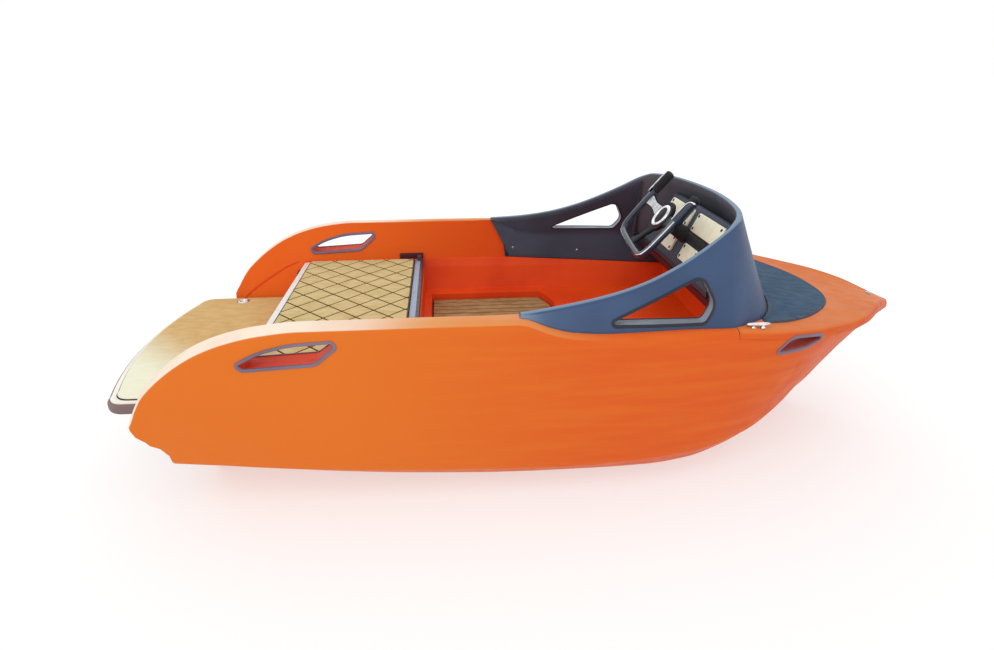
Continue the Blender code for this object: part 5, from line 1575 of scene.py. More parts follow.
    def build_panel(self, side: Side, window: Array) -> None:
        """Panel: from the ledge up the cockpit's wall to the sheer, then up the cowl's inner face.

        Args:
            side: side of the boat.
            window: outline of the window.
        """
        row = np.array(self.rows)[:self.beside]
        x = np.unique(np.concatenate([np.arange(-0.165, 0.600, 0.018), [0.600, 0.616, 0.776]]))
        knee = self.form.sheer(x)[1]
        low = np.interp(x, *self.ledge) + 0.003
        rim_z = pchip(x, row[:, 2], row[:, 4])
        top = np.where(x < 0.61, np.maximum(rim_z - self.below_rim, knee + 0.003), knee - self.form.deck - 0.003)
        knee = np.minimum(knee, top)
        foot_y, rim_y = self.form.wall_y(self.form.sheer(x)[1]), pchip(x, row[:, 2], row[:, 3]) - self.rim
        share = np.concatenate([np.linspace(0.0, 1.0, 8), np.linspace(1.0, 2.0, 13)[1:]])[None]
        z = np.where(share <= 1, low[:, None] + (knee - low)[:, None] * share,
                     knee[:, None] + (top - knee)[:, None] * (share - 1))
        lean = foot_y[:, None] + (rim_y - foot_y)[:, None] * ((z - knee[:, None]) / (rim_z - knee)[:, None])
        outer = np.where(share <= 1, self.form.wall_y(z) - 3 * GAP,
                         np.minimum(lean - self.panel_in, self.form.wall_y(z) - 3 * GAP))
        slant = np.exp(-((x + 0.165) / 0.05) ** 2)[:, None] * 0.53 * np.maximum(knee[:, None] + 0.003 - z, 0.0)
        along = x[:, None] + slant * np.clip(1 - (x + 0.165) / 0.2, 0.0, 1.0)[:, None]
        skin = np.stack([along, side.value * outer, z], -1)
        back = skin - np.array([0.0, side.value * self.panel, 0.0])
        rings = np.concatenate([skin, back[:, ::-1]], 1)
        panel = Piece("side_panel_" + side.label).tube(rings).build(Finish.PANEL)
        carve(panel, [side_cutter("cut_panel", window, side, 0.45, 0.80)])
        bevel(panel, 0.002, 2, 50.0)
        shade(panel, 40.0)
        install(panel, "boat", "panel_dark", "cowl_panel_" + side.label)

    def build_screws(self, side: Side) -> None:
        """Domed screw heads on the inner panel, pointing at the middle of the boat.

        Args:
            side: side of the boat.
        """
        face = self.face(True)
        piece = Piece("panel_screws_" + side.label)
        for x, z in self.screws:
            if z > float(self.form.sheer(np.array([x]))[1][0]):
                y = float(face(np.array([x]), np.array([z]))[0])
            else:
                y = float(self.form.wall_y(z)) - 0.0109
            piece.turned(self.screw, (x, side.value * y, z), (0.0, -side.value, 0.0), 20)
        install(piece.build(Finish.STEEL), "boat", "stainless")


@dataclass
class Platform:
    """Stern platform: ivory core, rubber fender, foam pad with eye holes, eyes and brackets.

    Attributes:
        top, thick: height of its top and its thickness.
        half_y, corner_x, corner_r, sag: half-breadth, place and radius of the aft corners, depth of the aft arc.
        fore_x: forward edge.
        eye, eye_r: place of the port eye and radius of its hole.
        ring, ring_half: middle and half-axes of the section of its ring, as radius and height.
        core: how far the core's side keeps in.
        bumper: half-width and half-height of the fender.
        base, sheet: how far the pad's dark base and its cream sheet keep in, and x of their forward edges.
    """

    top: float = 0.420
    thick: float = 0.048
    half_y: float = 0.545
    corner_x: float = -1.690
    corner_r: float = 0.060
    sag: float = 0.065
    fore_x: float = -1.151
    eye: tuple = (-1.455, 0.470)
    eye_r: float = 0.031
    ring: tuple = (0.0215, 0.0045)
    ring_half: tuple = (0.0065, 0.0055)
    core: float = 0.0123
    bumper: tuple = (0.0118, 0.020)
    base: tuple = (0.029, -1.168)
    sheet: tuple = (0.0317, -1.1705)

    def outline(self, inset: float, fore_x: float) -> Array:
        """Closed plan: straight sides, a quarter circle at each corner and the arc sag * (1 - (y / flat)^2).

        Args:
            inset: how far the sides and the aft edge keep in.
            fore_x: x of the forward edge.

        Returns:
            The plan's points.
        """
        half_y = self.half_y - inset
        turn = np.linspace(0.0, math.pi / 2, 13)
        centre = self.corner_x + inset + self.corner_r
        arc = np.stack([centre - self.corner_r * np.sin(turn),
                        half_y - self.corner_r + self.corner_r * np.cos(turn)], 1)
        flat = half_y - self.corner_r
        y = np.linspace(flat, 0.0, 25)[1:]
        aft = np.stack([self.corner_x + inset - self.sag * (1 - (y / flat) ** 2), y], 1)
        return mirrored(np.vstack([[(fore_x, 0.0), (fore_x, half_y)], arc, aft]))

    def build(self) -> None:
        """Build every piece of the platform."""
        low = self.top - self.thick
        core = resampled(self.outline(self.core, self.fore_x), 0.012)
        piece = slab(Piece("platform_core"), core, low, self.top, 0.003)
        install(piece.build(Finish.IVORY), "boat", "core_ivory", "stern_platform")
        path = self.outline(0.012, self.fore_x)[1:]
        rise = oval(*self.bumper, 20, 2.8)
        rise = rise[rise[:, 0] >= -1e-6]
        rise = np.vstack([rise, [(0.0, -self.bumper[1]), (0.0, self.bumper[1])]])
        rise = rise[np.argsort(np.arctan2(rise[:, 1], rise[:, 0] - 1e-4))]
        spine = np.column_stack([path, np.full(len(path), low + 0.022)])
        piece = Piece("platform_bumper").tube(swept(spine, UP, rise))
        install(piece.build(Finish.FENDER), "boat", "edge_rubber", "platform_fender")
        self.build_pad()
        for side in Side:
            x, y = self.eye[0], side.value * self.eye[1]
            turn = np.linspace(-0.5, math.pi + 0.5, 17)
            profile = np.array(self.ring) + np.column_stack([np.cos(turn), np.sin(turn)]) * self.ring_half
            cup = np.array([(0.0292, 0.0004), (0.0290, 0.0020)])
            profile = np.vstack([cup, profile, [(0.0150, 0.0004), (0.0, 0.0004)]])
            piece = Piece("platform_ring_" + side.label).turned(profile, (x, y, self.top + GAP), UP)
            install(piece.build(Finish.CHROME, angle=60.0), "boat", "chrome", "platform_eye_" + side.label)
            dress_node("platform_bracket_" + side.label, Finish.ALLOY, "boat", "cast_alloy", 0.0015)

    def build_pad(self) -> None:
        """Dark base sheet, cream sheet a little smaller on it, and a round hole at each eye."""
        foot = self.top + GAP
        base, sheet = (resampled(self.outline(*plan_of), 0.010) for plan_of in (self.base, self.sheet))
        piece = slab(Piece("platform_foam"), base, foot, foot + 0.0034, 0.0006, 1)
        slab(piece, sheet, foot + 0.0036, foot + 0.0074, 0.0022)
        pad = piece.build(Finish.PLATFORM, Finish.FOAM_BASE, angle=45.0)
        cutters = []
        for side in Side:
            drill = rectangle((0.0, -0.02), (self.eye_r, 0.03))
            place = (self.eye[0], side.value * self.eye[1], self.top)
            cutters.append(Piece("cut_eye").turned(drill, place, UP, 64).build())
        carve(pad, cutters)
        shade(pad, 45.0)
        install_pad(pad, "boat", "pad_cream", "platform_pad")


@dataclass
class Cockpit:
    """Tub, footwell mat, engine bay and the bench hatch with its quilted pad.

    Attributes:
        pad_low, pad_high: corners of the hatch pad.
        pad_z, pad_top: heights of its underside and of its top.
        pitch, node: diagonals of a diamond of the quilting along x and y, and a point where grooves cross.
        groove, gap: width of the grooves of the quilting and of the mat.
        inset: how far the quilting keeps in from the pad's edge.
        plank: width of a plank of the footwell mat.
        mat_z, well: height of the mat's underside and port half of its plan.
        base: thickness of the dark sheet under the pad and under the mat.
    """

    pad_low: tuple = (-1.116, -0.571)
    pad_high: tuple = (-0.571, 0.571)
    pad_z: float = 0.5903
    pad_top: float = 0.6025
    pitch: tuple = (0.1325, 0.1388)
    node: tuple = (-0.9860, -0.1470)
    groove: float = 0.0076
    gap: float = 0.0068
    inset: float = 0.0045
    plank: float = 0.047
    mat_z: float = 0.3853
    well: tuple = ((0.130, 0.0), (0.130, 0.350), (0.081, 0.485), (-0.485, 0.485))
    base: float = 0.0052

    def build(self) -> None:
        """Build the tub, the hatch and the mat."""
        dress_node("cockpit_liner", Finish.TUB, "boat", "tub_red_orange", 0.004)
        dress_node("hatch_lid", Finish.LID, "hatch", "lid_grey", 0.005, 4)
        dress_node("hatch_gasket", Finish.GRIP, "boat", "seal_rubber", 0.002)
        dress_node("engine_block", Finish.ENGINE, "boat", "engine_alloy", 0.012)
        for side in Side:
            dress_node("hatch_hinge_" + side.label, Finish.HINGE, "boat", "black_plastic", 0.003)
            dress_node("hatch_latch_" + side.label, Finish.BLACK, "hatch", "black_plastic", 0.003)
        self.build_pad()
        self.build_mat()

    def tile(self, piece: Piece, corners: Array, low: float, high: float, groove: float) -> None:
        """Add one piece of foam: its corners moved in by half the groove, rounded, with dark sides under a soft
        upper edge.

        Args:
            piece: piece that takes the foam.
            corners: corners in order.
            low, high: heights of the two faces.
            groove: width of the groove round it.
        """
        ahead, behind = unit(np.roll(corners, -1, 0) - corners), unit(np.roll(corners, 1, 0) - corners)
        sine = np.abs(ahead[:, 0] * behind[:, 1] - ahead[:, 1] * behind[:, 0])
        moved = corners + (ahead + behind) * (groove / 2 / np.maximum(sine, 0.25))[:, None]
        size = np.ptp(moved, axis=0).min()
        if size > 0.008:
            slab(piece, resampled(rounded(moved, 0.0025, 6), 0.0024), low, high, min(0.0018, 0.2 * size), wall=2)

    def clipped(self, corners: Array, low: Array, high: Array) -> Array:
        """Part of a convex shape inside a rectangle: each side keeps the corners within it and adds the points
        where the outline crosses it, in order of their angle about the middle.

        Args:
            corners: the shape's corners in order.
            low, high: corners of the rectangle.

        Returns:
            The corners of what is left, or none.
        """
        for axis, limit, sign in ((0, low[0], 1), (0, high[0], -1), (1, low[1], 1), (1, high[1], -1)):
            if len(corners) < 3:
                return corners[:0]
            gap = sign * (corners[:, axis] - limit)
            after, gap_after = np.roll(corners, -1, 0), np.roll(gap, -1)
            cross = gap * gap_after < 0
            share = (gap / np.where(cross, gap - gap_after, 1.0))[cross, None]
            points = np.vstack([corners[gap >= 0], (corners[cross] + share * (after[cross] - corners[cross]))])
            spoke = points - (points.mean(0) if len(points) else 0.0)
            corners = points[np.argsort(np.arctan2(spoke[:, 1], spoke[:, 0]))]
        return corners

    def build_pad(self) -> None:
        """Dark base sheet and a lattice of diamonds on it, cut off at the pad's edges."""
        low, high = np.array(self.pad_low), np.array(self.pad_high)
        piece = Piece("hatch_quilt")
        slab(piece, resampled(rounded(rectangle(low, high), 0.012), 0.008), self.pad_z, self.pad_z + self.base,
             0.0008, 1)
        step = np.array(self.pitch) / 2
        diamond = np.array([(1.0, 0.0), (0.0, 1.0), (-1.0, 0.0), (0.0, -1.0)]) * step
        first, last = np.floor((low - self.node) / step), np.ceil((high - self.node) / step)
        low, high = low + self.inset, high - self.inset
        slab(piece, resampled(rounded(rectangle(low, high), 0.010), 0.008), self.pad_z + 0.0053,
             self.pad_z + 0.0060, 0.0002, 2)
        for i in np.arange(first[0], last[0] + 1):
            for j in np.arange(first[1], last[1] + 1):
                if (i + j) % 2:
                    shape = self.clipped(np.array(self.node) + (i, j) * step + diamond, low, high)
                    if len(shape) > 2:
                        self.tile(piece, shape, self.pad_z + 0.0062, self.pad_top, self.groove)
        pad = piece.build(Finish.CREAM, Finish.FOAM_BASE, Finish.GROOVE, angle=45.0)
        install_pad(pad, "hatch", "pad_cream", "hatch_pad")

    def build_mat(self) -> None:
        """Footwell mat: a dark base sheet and planks along the boat, each cut off at the mat's front edge."""
        well = mirrored(self.well)
        foot = self.mat_z
        piece = Piece("footwell_planks")
        slab(piece, resampled(rounded(well, 0.010), 0.008), foot, foot + self.base, 0.0008, 1)
        edge = np.array(self.well) - 0.0018
        count = int(2 * edge[-1, 1] / self.plank)
        lines = np.linspace(-edge[-1, 1], edge[-1, 1], count + 1)
        front = np.interp(np.abs(lines), [0.0, edge[1, 1], edge[2, 1]], [edge[0, 0], edge[1, 0], edge[2, 0]])
        aft = -0.4832
        for y0, y1, x0, x1 in zip(lines[:-1], lines[1:], front[:-1], front[1:]):
            corners = np.array([(aft, y0), (x0, y0), (x1, y1), (aft, y1)])
            self.tile(piece, corners, foot + 0.0054, foot + 0.0118, self.gap)
        mat = piece.build(Finish.MAT, Finish.FOAM_BASE, Finish.GROOVE, angle=45.0)
        install_pad(mat, "boat", "pad_cream", "footwell_mat")


@dataclass
class Helm:
    """Dash block with its cream pads and a dark strip of painted shadow, the column and the open-topped yoke.

    Attributes:
        centre, tilt: hub of the wheel and the lean of its axis in degrees.
        turned: how far the wheel stands turned to starboard, in degrees.
        dish: how far the rim lies out from the hub.
        blade: heights in the wheel's plane and the half-width of the rim's section there.
        thick: half-thickness of the rim.
        yoke: across and up of the rim's port half.
        spokes: across and up of each spoke's root and tip.
        grip: across and up of the port grip's two ends.
        shell: share of the grip's length that the glossy shell covers.
        face: x and z of the dash face's foot and head.
        pads: along and across limits of the port pads on the dash face.
        pad_top: height of a pad over the dash face.
        screw: radius and height along the head of a pad's screw.
        hub, cap: radius and height along the hub and along the cap inside the bright ring.
        ring: radius of the bright ring, and half-width and height of its section.
        channel: lower and upper limit and half-length of the rail on the dash face.
        rib: pitch of the ribs of the rail and of the column.
        neck, column: height of the column's upper end, its radius and the height of its ribs.
        apron, apron_x: opposite corners of the painted-shadow strip in y and z, and the x that it stands on.
        handle, handle_rib: radius of a grip, and height and pitch of its ribs.
        skin: inner and outer radius of the grip's shell, and how much thicker its middle is.
        arm: half-width of a spoke at its middle, what its ends add, and its half-thickness.
    """

    centre: tuple = (0.533, 0.0, 0.949)
    tilt: float = 52.0
    turned: float = 6.0
    dish: float = 0.018
    blade: tuple = ((-0.174, -0.06, 0.04), (0.0150, 0.0180, 0.0235))
    thick: float = 0.0135
    yoke: tuple = ((0.198, 0.050), (0.202, -0.020), (0.201, -0.095), (0.188, -0.146), (0.148, -0.170),
                   (0.060, -0.174))
    spokes: tuple = (((0.0, -0.050), (0.0, -0.170)), ((0.050, 0.002), (0.198, 0.012)),
                     ((-0.050, 0.002), (-0.198, 0.012)))
    grip: tuple = ((0.198, 0.0508), (0.194, 0.158))
    shell: float = 0.80
    face: tuple = ((0.604, 0.740), (0.712, 0.975))
    pads: tuple = ((0.157, 0.242, 0.030, 0.318), (0.030, 0.104, 0.050, 0.232))
    pad_top: float = 0.0102
    screw: tuple = ((0.0070, -0.0005), (0.0066, 0.0016), (0.0040, 0.0028), (0.0, 0.0030))
    hub: tuple = ((0.0, -0.024), (0.060, -0.024), (0.068, -0.0225), (0.073, -0.018), (0.074, -0.010),
                  (0.072, -0.0050), (0.066, -0.0030), (0.058, -0.0050), (0.052, -0.006), (0.0, -0.006))
    cap: tuple = ((0.037, 0.0), (0.036, 0.0030), (0.028, 0.0052), (0.012, 0.0066), (0.0, 0.0070))
    ring: tuple = (0.0460, 0.0095, 0.0092)
    channel: tuple = (0.110, 0.151, 0.345)
    rib: float = 0.0125
    neck: float = -0.0243
    column: tuple = (0.0300, 0.0038)
    apron: tuple = ((-0.43, 0.6735), (0.43, 0.7010))
    apron_x: float = 0.6200
    handle: float = 0.0207
    handle_rib: tuple = (0.0012, 0.007)
    skin: tuple = (0.0209, 0.0212, 0.0045)
    arm: tuple = (0.020, 0.012, 0.0075)

    def point(self, flat: Array, out: Array | float = 0.0) -> Array:
        """Points in the wheel's plane: centre + y * across + rise * up + axis * out, with across and up turned.

        Args:
            flat: across and up in the wheel's plane.
            out: distance along the axis.

        Returns:
            The places in space.
        """
        lean = math.radians(self.tilt)
        axis = np.array([-math.sin(lean), 0.0, math.cos(lean)])
        rise = np.array([math.cos(lean), 0.0, math.sin(lean)])
        flat = np.asarray(flat, float)
        cos, sin = math.cos(math.radians(self.turned)), math.sin(math.radians(self.turned))
        across, up = flat[..., :1] * cos - flat[..., 1:] * sin, flat[..., :1] * sin + flat[..., 1:] * cos
        lift = axis * np.broadcast_to(np.asarray(out, float), flat.shape[:-1])[..., None]
        return np.array(self.centre) + up * rise + across * ACROSS + lift

    def axis(self) -> Array:
        """Direction out of the wheel's face."""
        return self.point(np.zeros(2), 1.0) - self.point(np.zeros(2), 0.0)

    def dash(self) -> tuple[Array, Array, Array]:
        """Work out the frame of the dash face.

        Returns:
            The foot, the direction up along the face and the direction out of it.
        """
        foot, head = (np.array([x, 0.0, z]) for x, z in self.face)
        along = unit(head - foot)
        return foot, along, np.array([-along[2], 0.0, along[0]])

    def build(self) -> None:
        """Build the dash, the column and the wheel."""
        dress_node("dash_console", Finish.PANEL, "boat", "panel_dark", 0.006, 4)
        self.build_dash_pads()
        self.build_channel()
        self.build_apron()
        self.build_column()
        self.build_yoke()
        self.build_grips()

    def build_dash_pads(self) -> None:
        """Cream panels on the dash face with a screw in each corner."""
        foot, along, out = self.dash()
        for side in Side:
            def lay(flat: Array, height: float, sign: float = side.value) -> Array:
                """Place points given as up and across on the dash face, at a height over it."""
                return foot + flat[:, :1] * along + out * height + sign * flat[:, 1:] * ACROSS

            for level, (low, high, inner, outer) in zip(("upper", "lower"), self.pads):
                corners = [(low, inner), (low, outer), (high, outer - 0.02), (high, inner)]
                name = f"{level}_{side.label}"
                outline = resampled(rounded(corners, 0.012), 0.004)
                piece = slab(Piece("dash_cushion_" + name), outline, GAP, self.pad_top, 0.0035, 0, lay)
                install_pad(piece.build(Finish.DASH_FOAM, angle=45.0), "boat", "dash_ivory", "dash_pad_" + name)
                screws = Piece("dash_screws_" + name)
                for up, across in ((low + 0.014, inner + 0.016), (low + 0.014, outer - 0.018),
                                   (high - 0.014, outer - 0.036), (high - 0.014, inner + 0.016)):
                    screws.turned(self.screw, lay(np.array([(up, across)]), self.pad_top)[0], out, 20)
                install(screws.build(Finish.BLACK), "boat", "black_plastic")

    def build_channel(self) -> None:
        """Black rubber-covered rail across the dash between the upper and the lower pads."""
        foot, along, out = self.dash()
        low, high, reach = self.channel
        turn = np.linspace(0.0, math.pi, 13)
        middle, half = (low + high) / 2, (high - low) / 2
        rise, height = middle + half * np.cos(turn), 0.0004 + 0.010 * np.sin(turn) ** 0.6
        line = np.linspace(-reach, reach, 70)
        rib = 1 - 0.10 * (np.sin(line * math.pi / self.rib) ** 2)
        rings = (foot + line[:, None, None] * ACROSS + rise[None, :, None] * along
                 + (rib[:, None] * height)[..., None] * out)
        install(Piece("dash_channel").tube(rings).build(Finish.GRIP, angle=60.0), "boat", "black_plastic")

    def build_apron(self) -> None:
        """Dark red strip of painted shadow under the dash, over the foredeck's aft edge."""
        outline = resampled(rounded(rectangle(*self.apron), 0.004), 0.004)

        def lay(flat: Array, height: float) -> Array:
            """Place points given as y and z aft of the deck's edge by a height."""
            return np.stack([np.full(len(flat), self.apron_x) - height, flat[:, 0], flat[:, 1]], 1)

        piece = slab(Piece("dash_apron"), outline, 0.0, 0.0035, 0.0015, 0, lay)
        install(piece.build(Finish.APRON), "boat", "tub_red_orange")

    def build_column(self) -> None:
        """Ribbed rubber column from under the hub to the dash face."""
        axis, (foot, _, out) = self.axis(), self.dash()
        reach = float((foot - np.array(self.centre)) @ out / (axis @ out)) - 0.03
        near = self.neck
        height = np.linspace(near, reach, 121)
        wave = np.abs(np.sin((height - near) * math.pi / self.rib)) ** 0.7
        fade = np.clip((near - height) / 0.006, 0.0, 1.0)
        radius = self.column[0] + self.column[1] * wave * fade
        profile = np.vstack([[(0.0, near)], np.column_stack([radius, height]), [(0.0, reach)]])
        boot = Piece("column_boot").turned(profile, self.centre, axis).build(Finish.GRIP, angle=60.0)
        (x0, low), (x1, high) = self.face
        wedge = np.array([(x0 - 0.0004, low), (x1 - 0.0004, high), (0.90, high), (0.90, low)])
        carve(boot, [prism("cut_boot", wedge, -0.2, 0.2, View.PROFILE)])
        shade(boot, 60.0)
        install(boot, "boat", "black_plastic", "steering_column")

    def build_yoke(self) -> None:
        """Rim with bright strips along its two edges, flat spokes, hub and bright ring."""
        half = np.array(self.yoke)
        path = np.vstack([half, (half * (-1.0, 1.0))[::-1]])
        flat = smooth_path(np.insert(path, len(half), (0.0, -0.1745), 0), 150)
        width = np.interp(flat[:, 1], *self.blade)
        section = oval(1.0, self.thick, 32, 2.4)[None] * np.column_stack([width, np.ones(len(flat))])[:, None]
        line = self.point(flat, self.dish)
        rings = swept(line, self.axis(), section)
        strip = np.isin(np.arange(32), (4, 5)).astype(int)
        rim = Piece("yoke_rim").tube(rings, strip[None]).build(Finish.GLOSS, Finish.CHROME, angle=40.0)
        install(rim, "helm", "gloss_black", "yoke_frame")
        piece = Piece("yoke_spokes")
        for root, tip in self.spokes:
            share = np.linspace(0.0, 1.0, 24)
            flat = np.array(root) * (1 - share[:, None]) + np.array(tip) * share[:, None]
            rise = -0.015 + (self.dish + 0.013) * share ** 1.4
            width = self.arm[0] + self.arm[1] * np.cos(share * math.pi) ** 2
            bar = oval(1.0, self.arm[2], 24, 3.0)[None] * np.stack([width, np.ones(24)], 1)[:, None]
            rings = swept(self.point(flat, rise), self.axis(), bar)
            bright = np.isin(np.arange(24), range(3, 9) if root[0] > 0 else ()).astype(int)
            piece.tube(rings, bright[None])
        piece.turned(self.hub, self.centre, self.axis(), 64)
        spokes = piece.build(Finish.HUB, Finish.STEEL, angle=40.0)
        install(spokes, "helm", "gloss_black", "yoke_frame")
        turn = np.linspace(0.0, math.pi, 13)
        radius, half, height = self.ring
        bead = np.column_stack([radius + half * np.cos(turn), height * np.sin(turn) ** 0.8])
        place = self.point(np.zeros(2), -0.0057)
        piece = Piece("hub_badge").turned(bead, place, self.axis(), 64).turned(self.cap, place, self.axis(), 64, 1)
        badge = piece.build(Finish.CHROME, Finish.HUB, angle=50.0)
        install(badge, "helm", "chrome", "hub_ring")

    def build_grips(self) -> None:
        """Round-ended rubber grips with fine ribs along their middle."""
        for side in Side:
            start, end = self.point(np.array(self.grip) * (side.value, 1.0), self.dish)
            length = float(np.linalg.norm(end - start))
            height = np.linspace(0.004, length - 0.010, 90)
            rib = np.where((height > 0.016) & (height < length - 0.018),
                           self.handle_rib[0] * np.sin(height * 2 * math.pi / self.handle_rib[1]), 0.0)
            body = np.column_stack([self.handle + rib, height])
            turn = np.linspace(0.1, math.pi / 2, 7)
            tip = np.column_stack([self.handle * np.cos(turn), length - 0.010 + 0.010 * np.sin(turn)])
            profile = np.vstack([[(0.0, 0.0), (0.0185, 0.0), (0.0203, 0.0012)], body, tip])
            piece = Piece("yoke_handle_" + side.label).turned(profile, start, end - start, 40)
            self.add_shell(piece, side, start, end)
            handle = piece.build(Finish.GRIP, Finish.GLOSS, Finish.CHROME, angle=60.0)
            install(handle, "helm", "seal_rubber", "yoke_grip_" + side.label)

    def add_shell(self, piece: Piece, side: Side, start: Array, end: Array) -> None:
        """Glossy shell round the outer side of a grip: an arc whose reach falls to nothing at its bright end.

        Args:
            piece: piece that takes the shell.
            side: side of the grip.
            start, end: the grip's ends.
        """
        share = np.linspace(-0.18, self.shell, 30)
        path = start + share[:, None] * (end - start)
        taper = np.sqrt(np.clip(1 - (share / self.shell) ** 6, 0.02, 1.0))[:, None]
        angle = np.linspace(-1.35, 1.35, 15)[None] * taper
        inner, outer = self.skin[0], self.skin[1] + self.skin[2] * taper
        arc = np.stack([np.cos(angle), np.sin(angle)], -1)
        section = np.concatenate([outer[..., None] * arc, inner * arc[:, ::-1]], 1) * (-side.value, 1.0)
        slots = np.where((np.arange(29) > 26)[:, None] | np.isin(np.arange(30), (13, 14)), 2, 1)
        piece.tube(swept(path, self.axis(), section), slots, (1, 2))


@dataclass
class Fittings:
    """Deck cleats, bow eye, drain plug and the jet drive.

    Attributes:
        form: lines of the hull.
        cleat, bar: x, half-breadth and length of a cleat, and radius of its bar.
        post, posts: radius and height along a cleat's post, and the posts' places on either side of its middle.
        eye_x, eye_axis: place of the bow eye and the deck's normal there.
        ring, ring_half: middle and half-axes of the section of the eye's ring, as radius and height.
        plug, cap: place of the drain plug, and radius and height along it.
        drive: node, body, finish and slot of each piece of the drive.
    """

    form: HullForm
    cleat: tuple = (0.707, 0.652, 0.090)
    bar: float = 0.0074
    post: tuple = ((0.0, 0.0), (0.0100, 0.0), (0.0096, 0.0012), (0.0066, 0.0035), (0.0058, 0.0075),
                   (0.0068, 0.0120), (0.0, 0.0125))
    posts: tuple = (-0.018, 0.018)
    eye_x: float = 1.585
    eye_axis: tuple = (0.276, 0.0, 0.961)
    ring: tuple = (0.0100, 0.0035)
    ring_half: tuple = (0.0040, 0.0045)
    plug: tuple = (-1.4053, 0.250, 0.080)
    cap: tuple = ((0.020, 0.0), (0.020, 0.0045), (0.0185, 0.0060), (0.0135, 0.0066), (0.0120, 0.0112),
                  (0.0105, 0.0120), (0.005, 0.0120), (0.004, 0.0085), (0.0, 0.0085))
    drive: tuple = (("jet_pump", "boat", Finish.ALLOY, "cast_alloy"),
                    ("ride_plate", "boat", Finish.ALLOY, "cast_alloy"),
                    ("intake_grate", "boat", Finish.STEEL, "stainless"),
                    ("jet_nozzle", "nozzle", Finish.ALLOY, "cast_alloy"),
                    ("reverse_bucket", "bucket", Finish.ALLOY, "cast_alloy"),
                    ("impeller", "impeller", Finish.STEEL, "stainless"))

    def build(self) -> None:
        """Build the fittings and finish the drive's pieces."""
        for side in Side:
            self.build_cleat(side)
        turn = np.linspace(-0.4, math.pi + 0.4, 15)
        ring = np.array(self.ring) + np.column_stack([np.cos(turn), np.sin(turn)]) * self.ring_half
        base = float(self.form.deck_z(np.array([self.eye_x]), np.array([0.0]))[0])
        eye = Piece("bow_ring").turned(np.vstack([[(0.0142, 0.0)], ring, [(0.0, 0.0015)]]),
                                       (self.eye_x, 0.0, base + 0.0012), self.eye_axis)
        install(eye.build(Finish.STEEL, angle=50.0), "boat", "stainless", "deck_eye")
        plug = Piece("stern_plug").turned(self.cap, self.plug, (-1.0, 0.0, 0.0))
        install(plug.build(Finish.BLACK, angle=50.0), "boat", "black_plastic", "drain_plug")
        for node, body, finish, slot in self.drive:
            dress_node(node, finish, body, slot, 0.0008, 2)

    def build_cleat(self, side: Side) -> None:
        """Two-horned cleat: a bar that narrows to its ends on two flared posts over a long foot.

        Args:
            side: side of the boat.
        """
        x, y, length = self.cleat[0], side.value * self.cleat[1], self.cleat[2]
        base = float(self.form.deck_z(np.array([x]), np.array([abs(y)]))[0]) + 0.0012
        share = np.linspace(-1.0, 1.0, 41)
        radius = self.bar * np.sqrt(np.clip(1 - np.abs(share) ** 5, 0.0, 1.0)) + 1e-5
        line = np.column_stack([x + share * length / 2, np.full(41, y), base + 0.0130 + 0.0014 * share ** 4])
        section = oval(1.0, 0.85, 20)[None] * radius[:, None, None]
        piece = Piece("deck_cleat_" + side.label).tube(swept(line, UP, section))
        for shift in self.posts:
            piece.turned(self.post, (x + shift, y, base - 0.0006), UP, 28)
        install(piece.build(Finish.CHROME, angle=50.0), "boat", "chrome", "cleat_" + side.label)


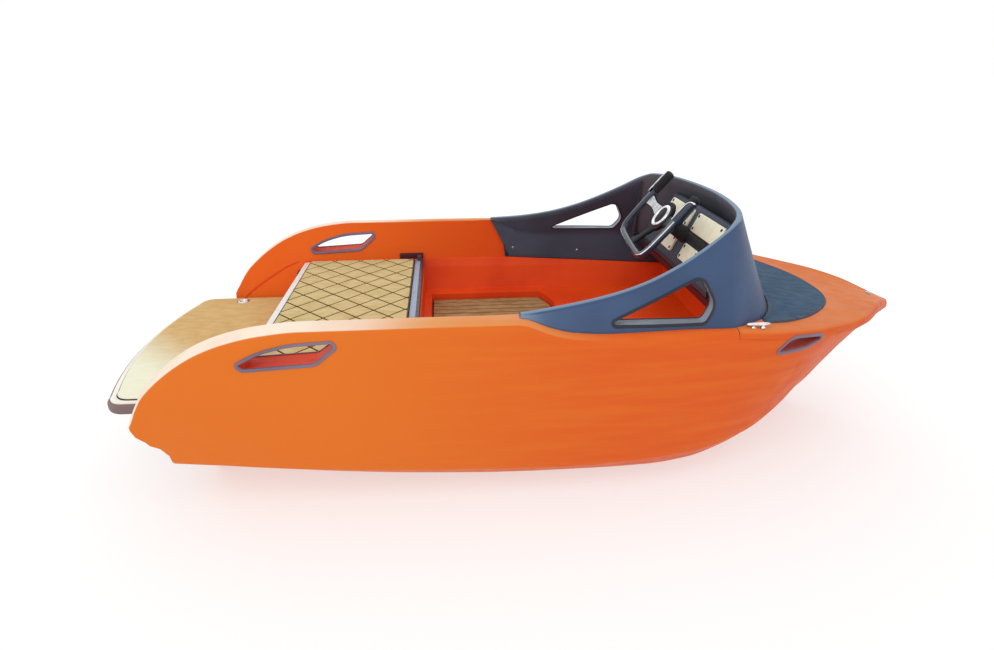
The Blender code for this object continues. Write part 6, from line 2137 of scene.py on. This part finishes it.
@dataclass
class Studio:
    """Pale floor, soft lights and the camera that took the picture.

    Attributes:
        eye: place of the camera.
        pitch, yaw: how far it looks down and to the right, in radians.
        sensor, lens: width of the sensor and focal length, in millimetres.
        floor_half, floor_tone: half-width of the floor and its colour.
        lamps: name, place, target, width and power of each lamp.
    """

    eye: tuple = (-0.365, -2.6508224423165876, 1.607166060818774)
    pitch: float = 0.410173661854252
    yaw: float = 0.08287093789583805
    sensor: float = 36.0
    lens: float = sensor * 630.0 / 994.0
    floor_half: float = 40.0
    floor_tone: Colour = (0.46, 0.46, 0.46)
    lamps: tuple = (("key", (-2.0, -3.6, 4.2), (0.0, 0.0, 0.4), 2.6, 36.0),
                    ("back", (0.5, 4.2, 3.8), (0.0, 0.0, 0.5), 3.0, 20.0))

    def build(self) -> None:
        """Build the floor, the lights, the sky and the camera."""
        flat = rectangle((-self.floor_half, -self.floor_half), (self.floor_half, self.floor_half))
        floor = Piece("floor").cap(plan(flat, 0.0)).build()
        floor.data.materials.append(self.floor_material())
        world = bpy.data.worlds.new("studio")
        bpy.context.scene.world = world
        world.use_nodes = True
        sky = world.node_tree.nodes["Background"]
        sky.inputs["Color"].default_value = (1.0, 1.0, 1.0, 1.0)
        sky.inputs["Strength"].default_value = 1.0
        for lamp in self.lamps:
            self.lamp(*lamp)
        self.camera()

    def floor_material(self) -> Material:
        """Near-white paper with a trace of mottling.

        Returns:
            The material.
        """
        s = Shader("floor_paper")
        darker = tuple(channel * 0.985 for channel in self.floor_tone)
        s.set(base_color=s.mix(s.noise(1.5, 3.0), self.floor_tone, darker), roughness=0.9,
              emission_color=(1.0, 1.0, 1.0), emission_strength=0.54)
        return s.material

    def lamp(self, name: str, place: Sequence, target: Sequence, size: float, power: float) -> None:
        """Square area lamp that looks at a point.

        Args:
            name: name of the lamp.
            place, target: where it stands and what it looks at.
            size: its width.
            power: its power in watts.
        """
        light = bpy.data.lights.new(name, "AREA")
        light.size, light.energy = size, power
        obj = linked(name, light)
        obj.location = place
        obj.rotation_euler = (Vector(target) - Vector(place)).to_track_quat("-Z", "Y").to_euler()

    def camera(self) -> None:
        """Camera whose axes are the look direction, the level right and their product."""
        ahead = Vector((math.sin(self.yaw), math.cos(self.yaw), 0.0))
        look = ahead * math.cos(self.pitch) - Vector((0, 0, 1)) * math.sin(self.pitch)
        right = Vector((math.cos(self.yaw), -math.sin(self.yaw), 0.0))
        up = ahead * math.sin(self.pitch) + Vector((0, 0, 1)) * math.cos(self.pitch)
        lens = bpy.data.cameras.new("camera")
        lens.sensor_width, lens.lens = self.sensor, self.lens
        obj = linked("camera", lens)
        obj.matrix_world = Matrix(((right.x, up.x, -look.x, self.eye[0]), (right.y, up.y, -look.y, self.eye[1]),
                                   (right.z, up.z, -look.z, self.eye[2]), (0, 0, 0, 1)))
        bpy.context.scene.camera = obj


def main() -> None:
    logging.basicConfig(level=logging.INFO, format="%(message)s")
    np.random.seed(SEED)
    bpy.context.scene.view_settings.view_transform = "Standard"
    form = HullForm()
    hull, cowl = Hull(form), Cowl(form)
    for part in (hull, HandSlots(hull), cowl, Foredeck(hull, cowl), Platform(), Cockpit(), Helm(), Fittings(form),
                 Studio()):
        part.build()


if __name__ == "__main__":
    main()
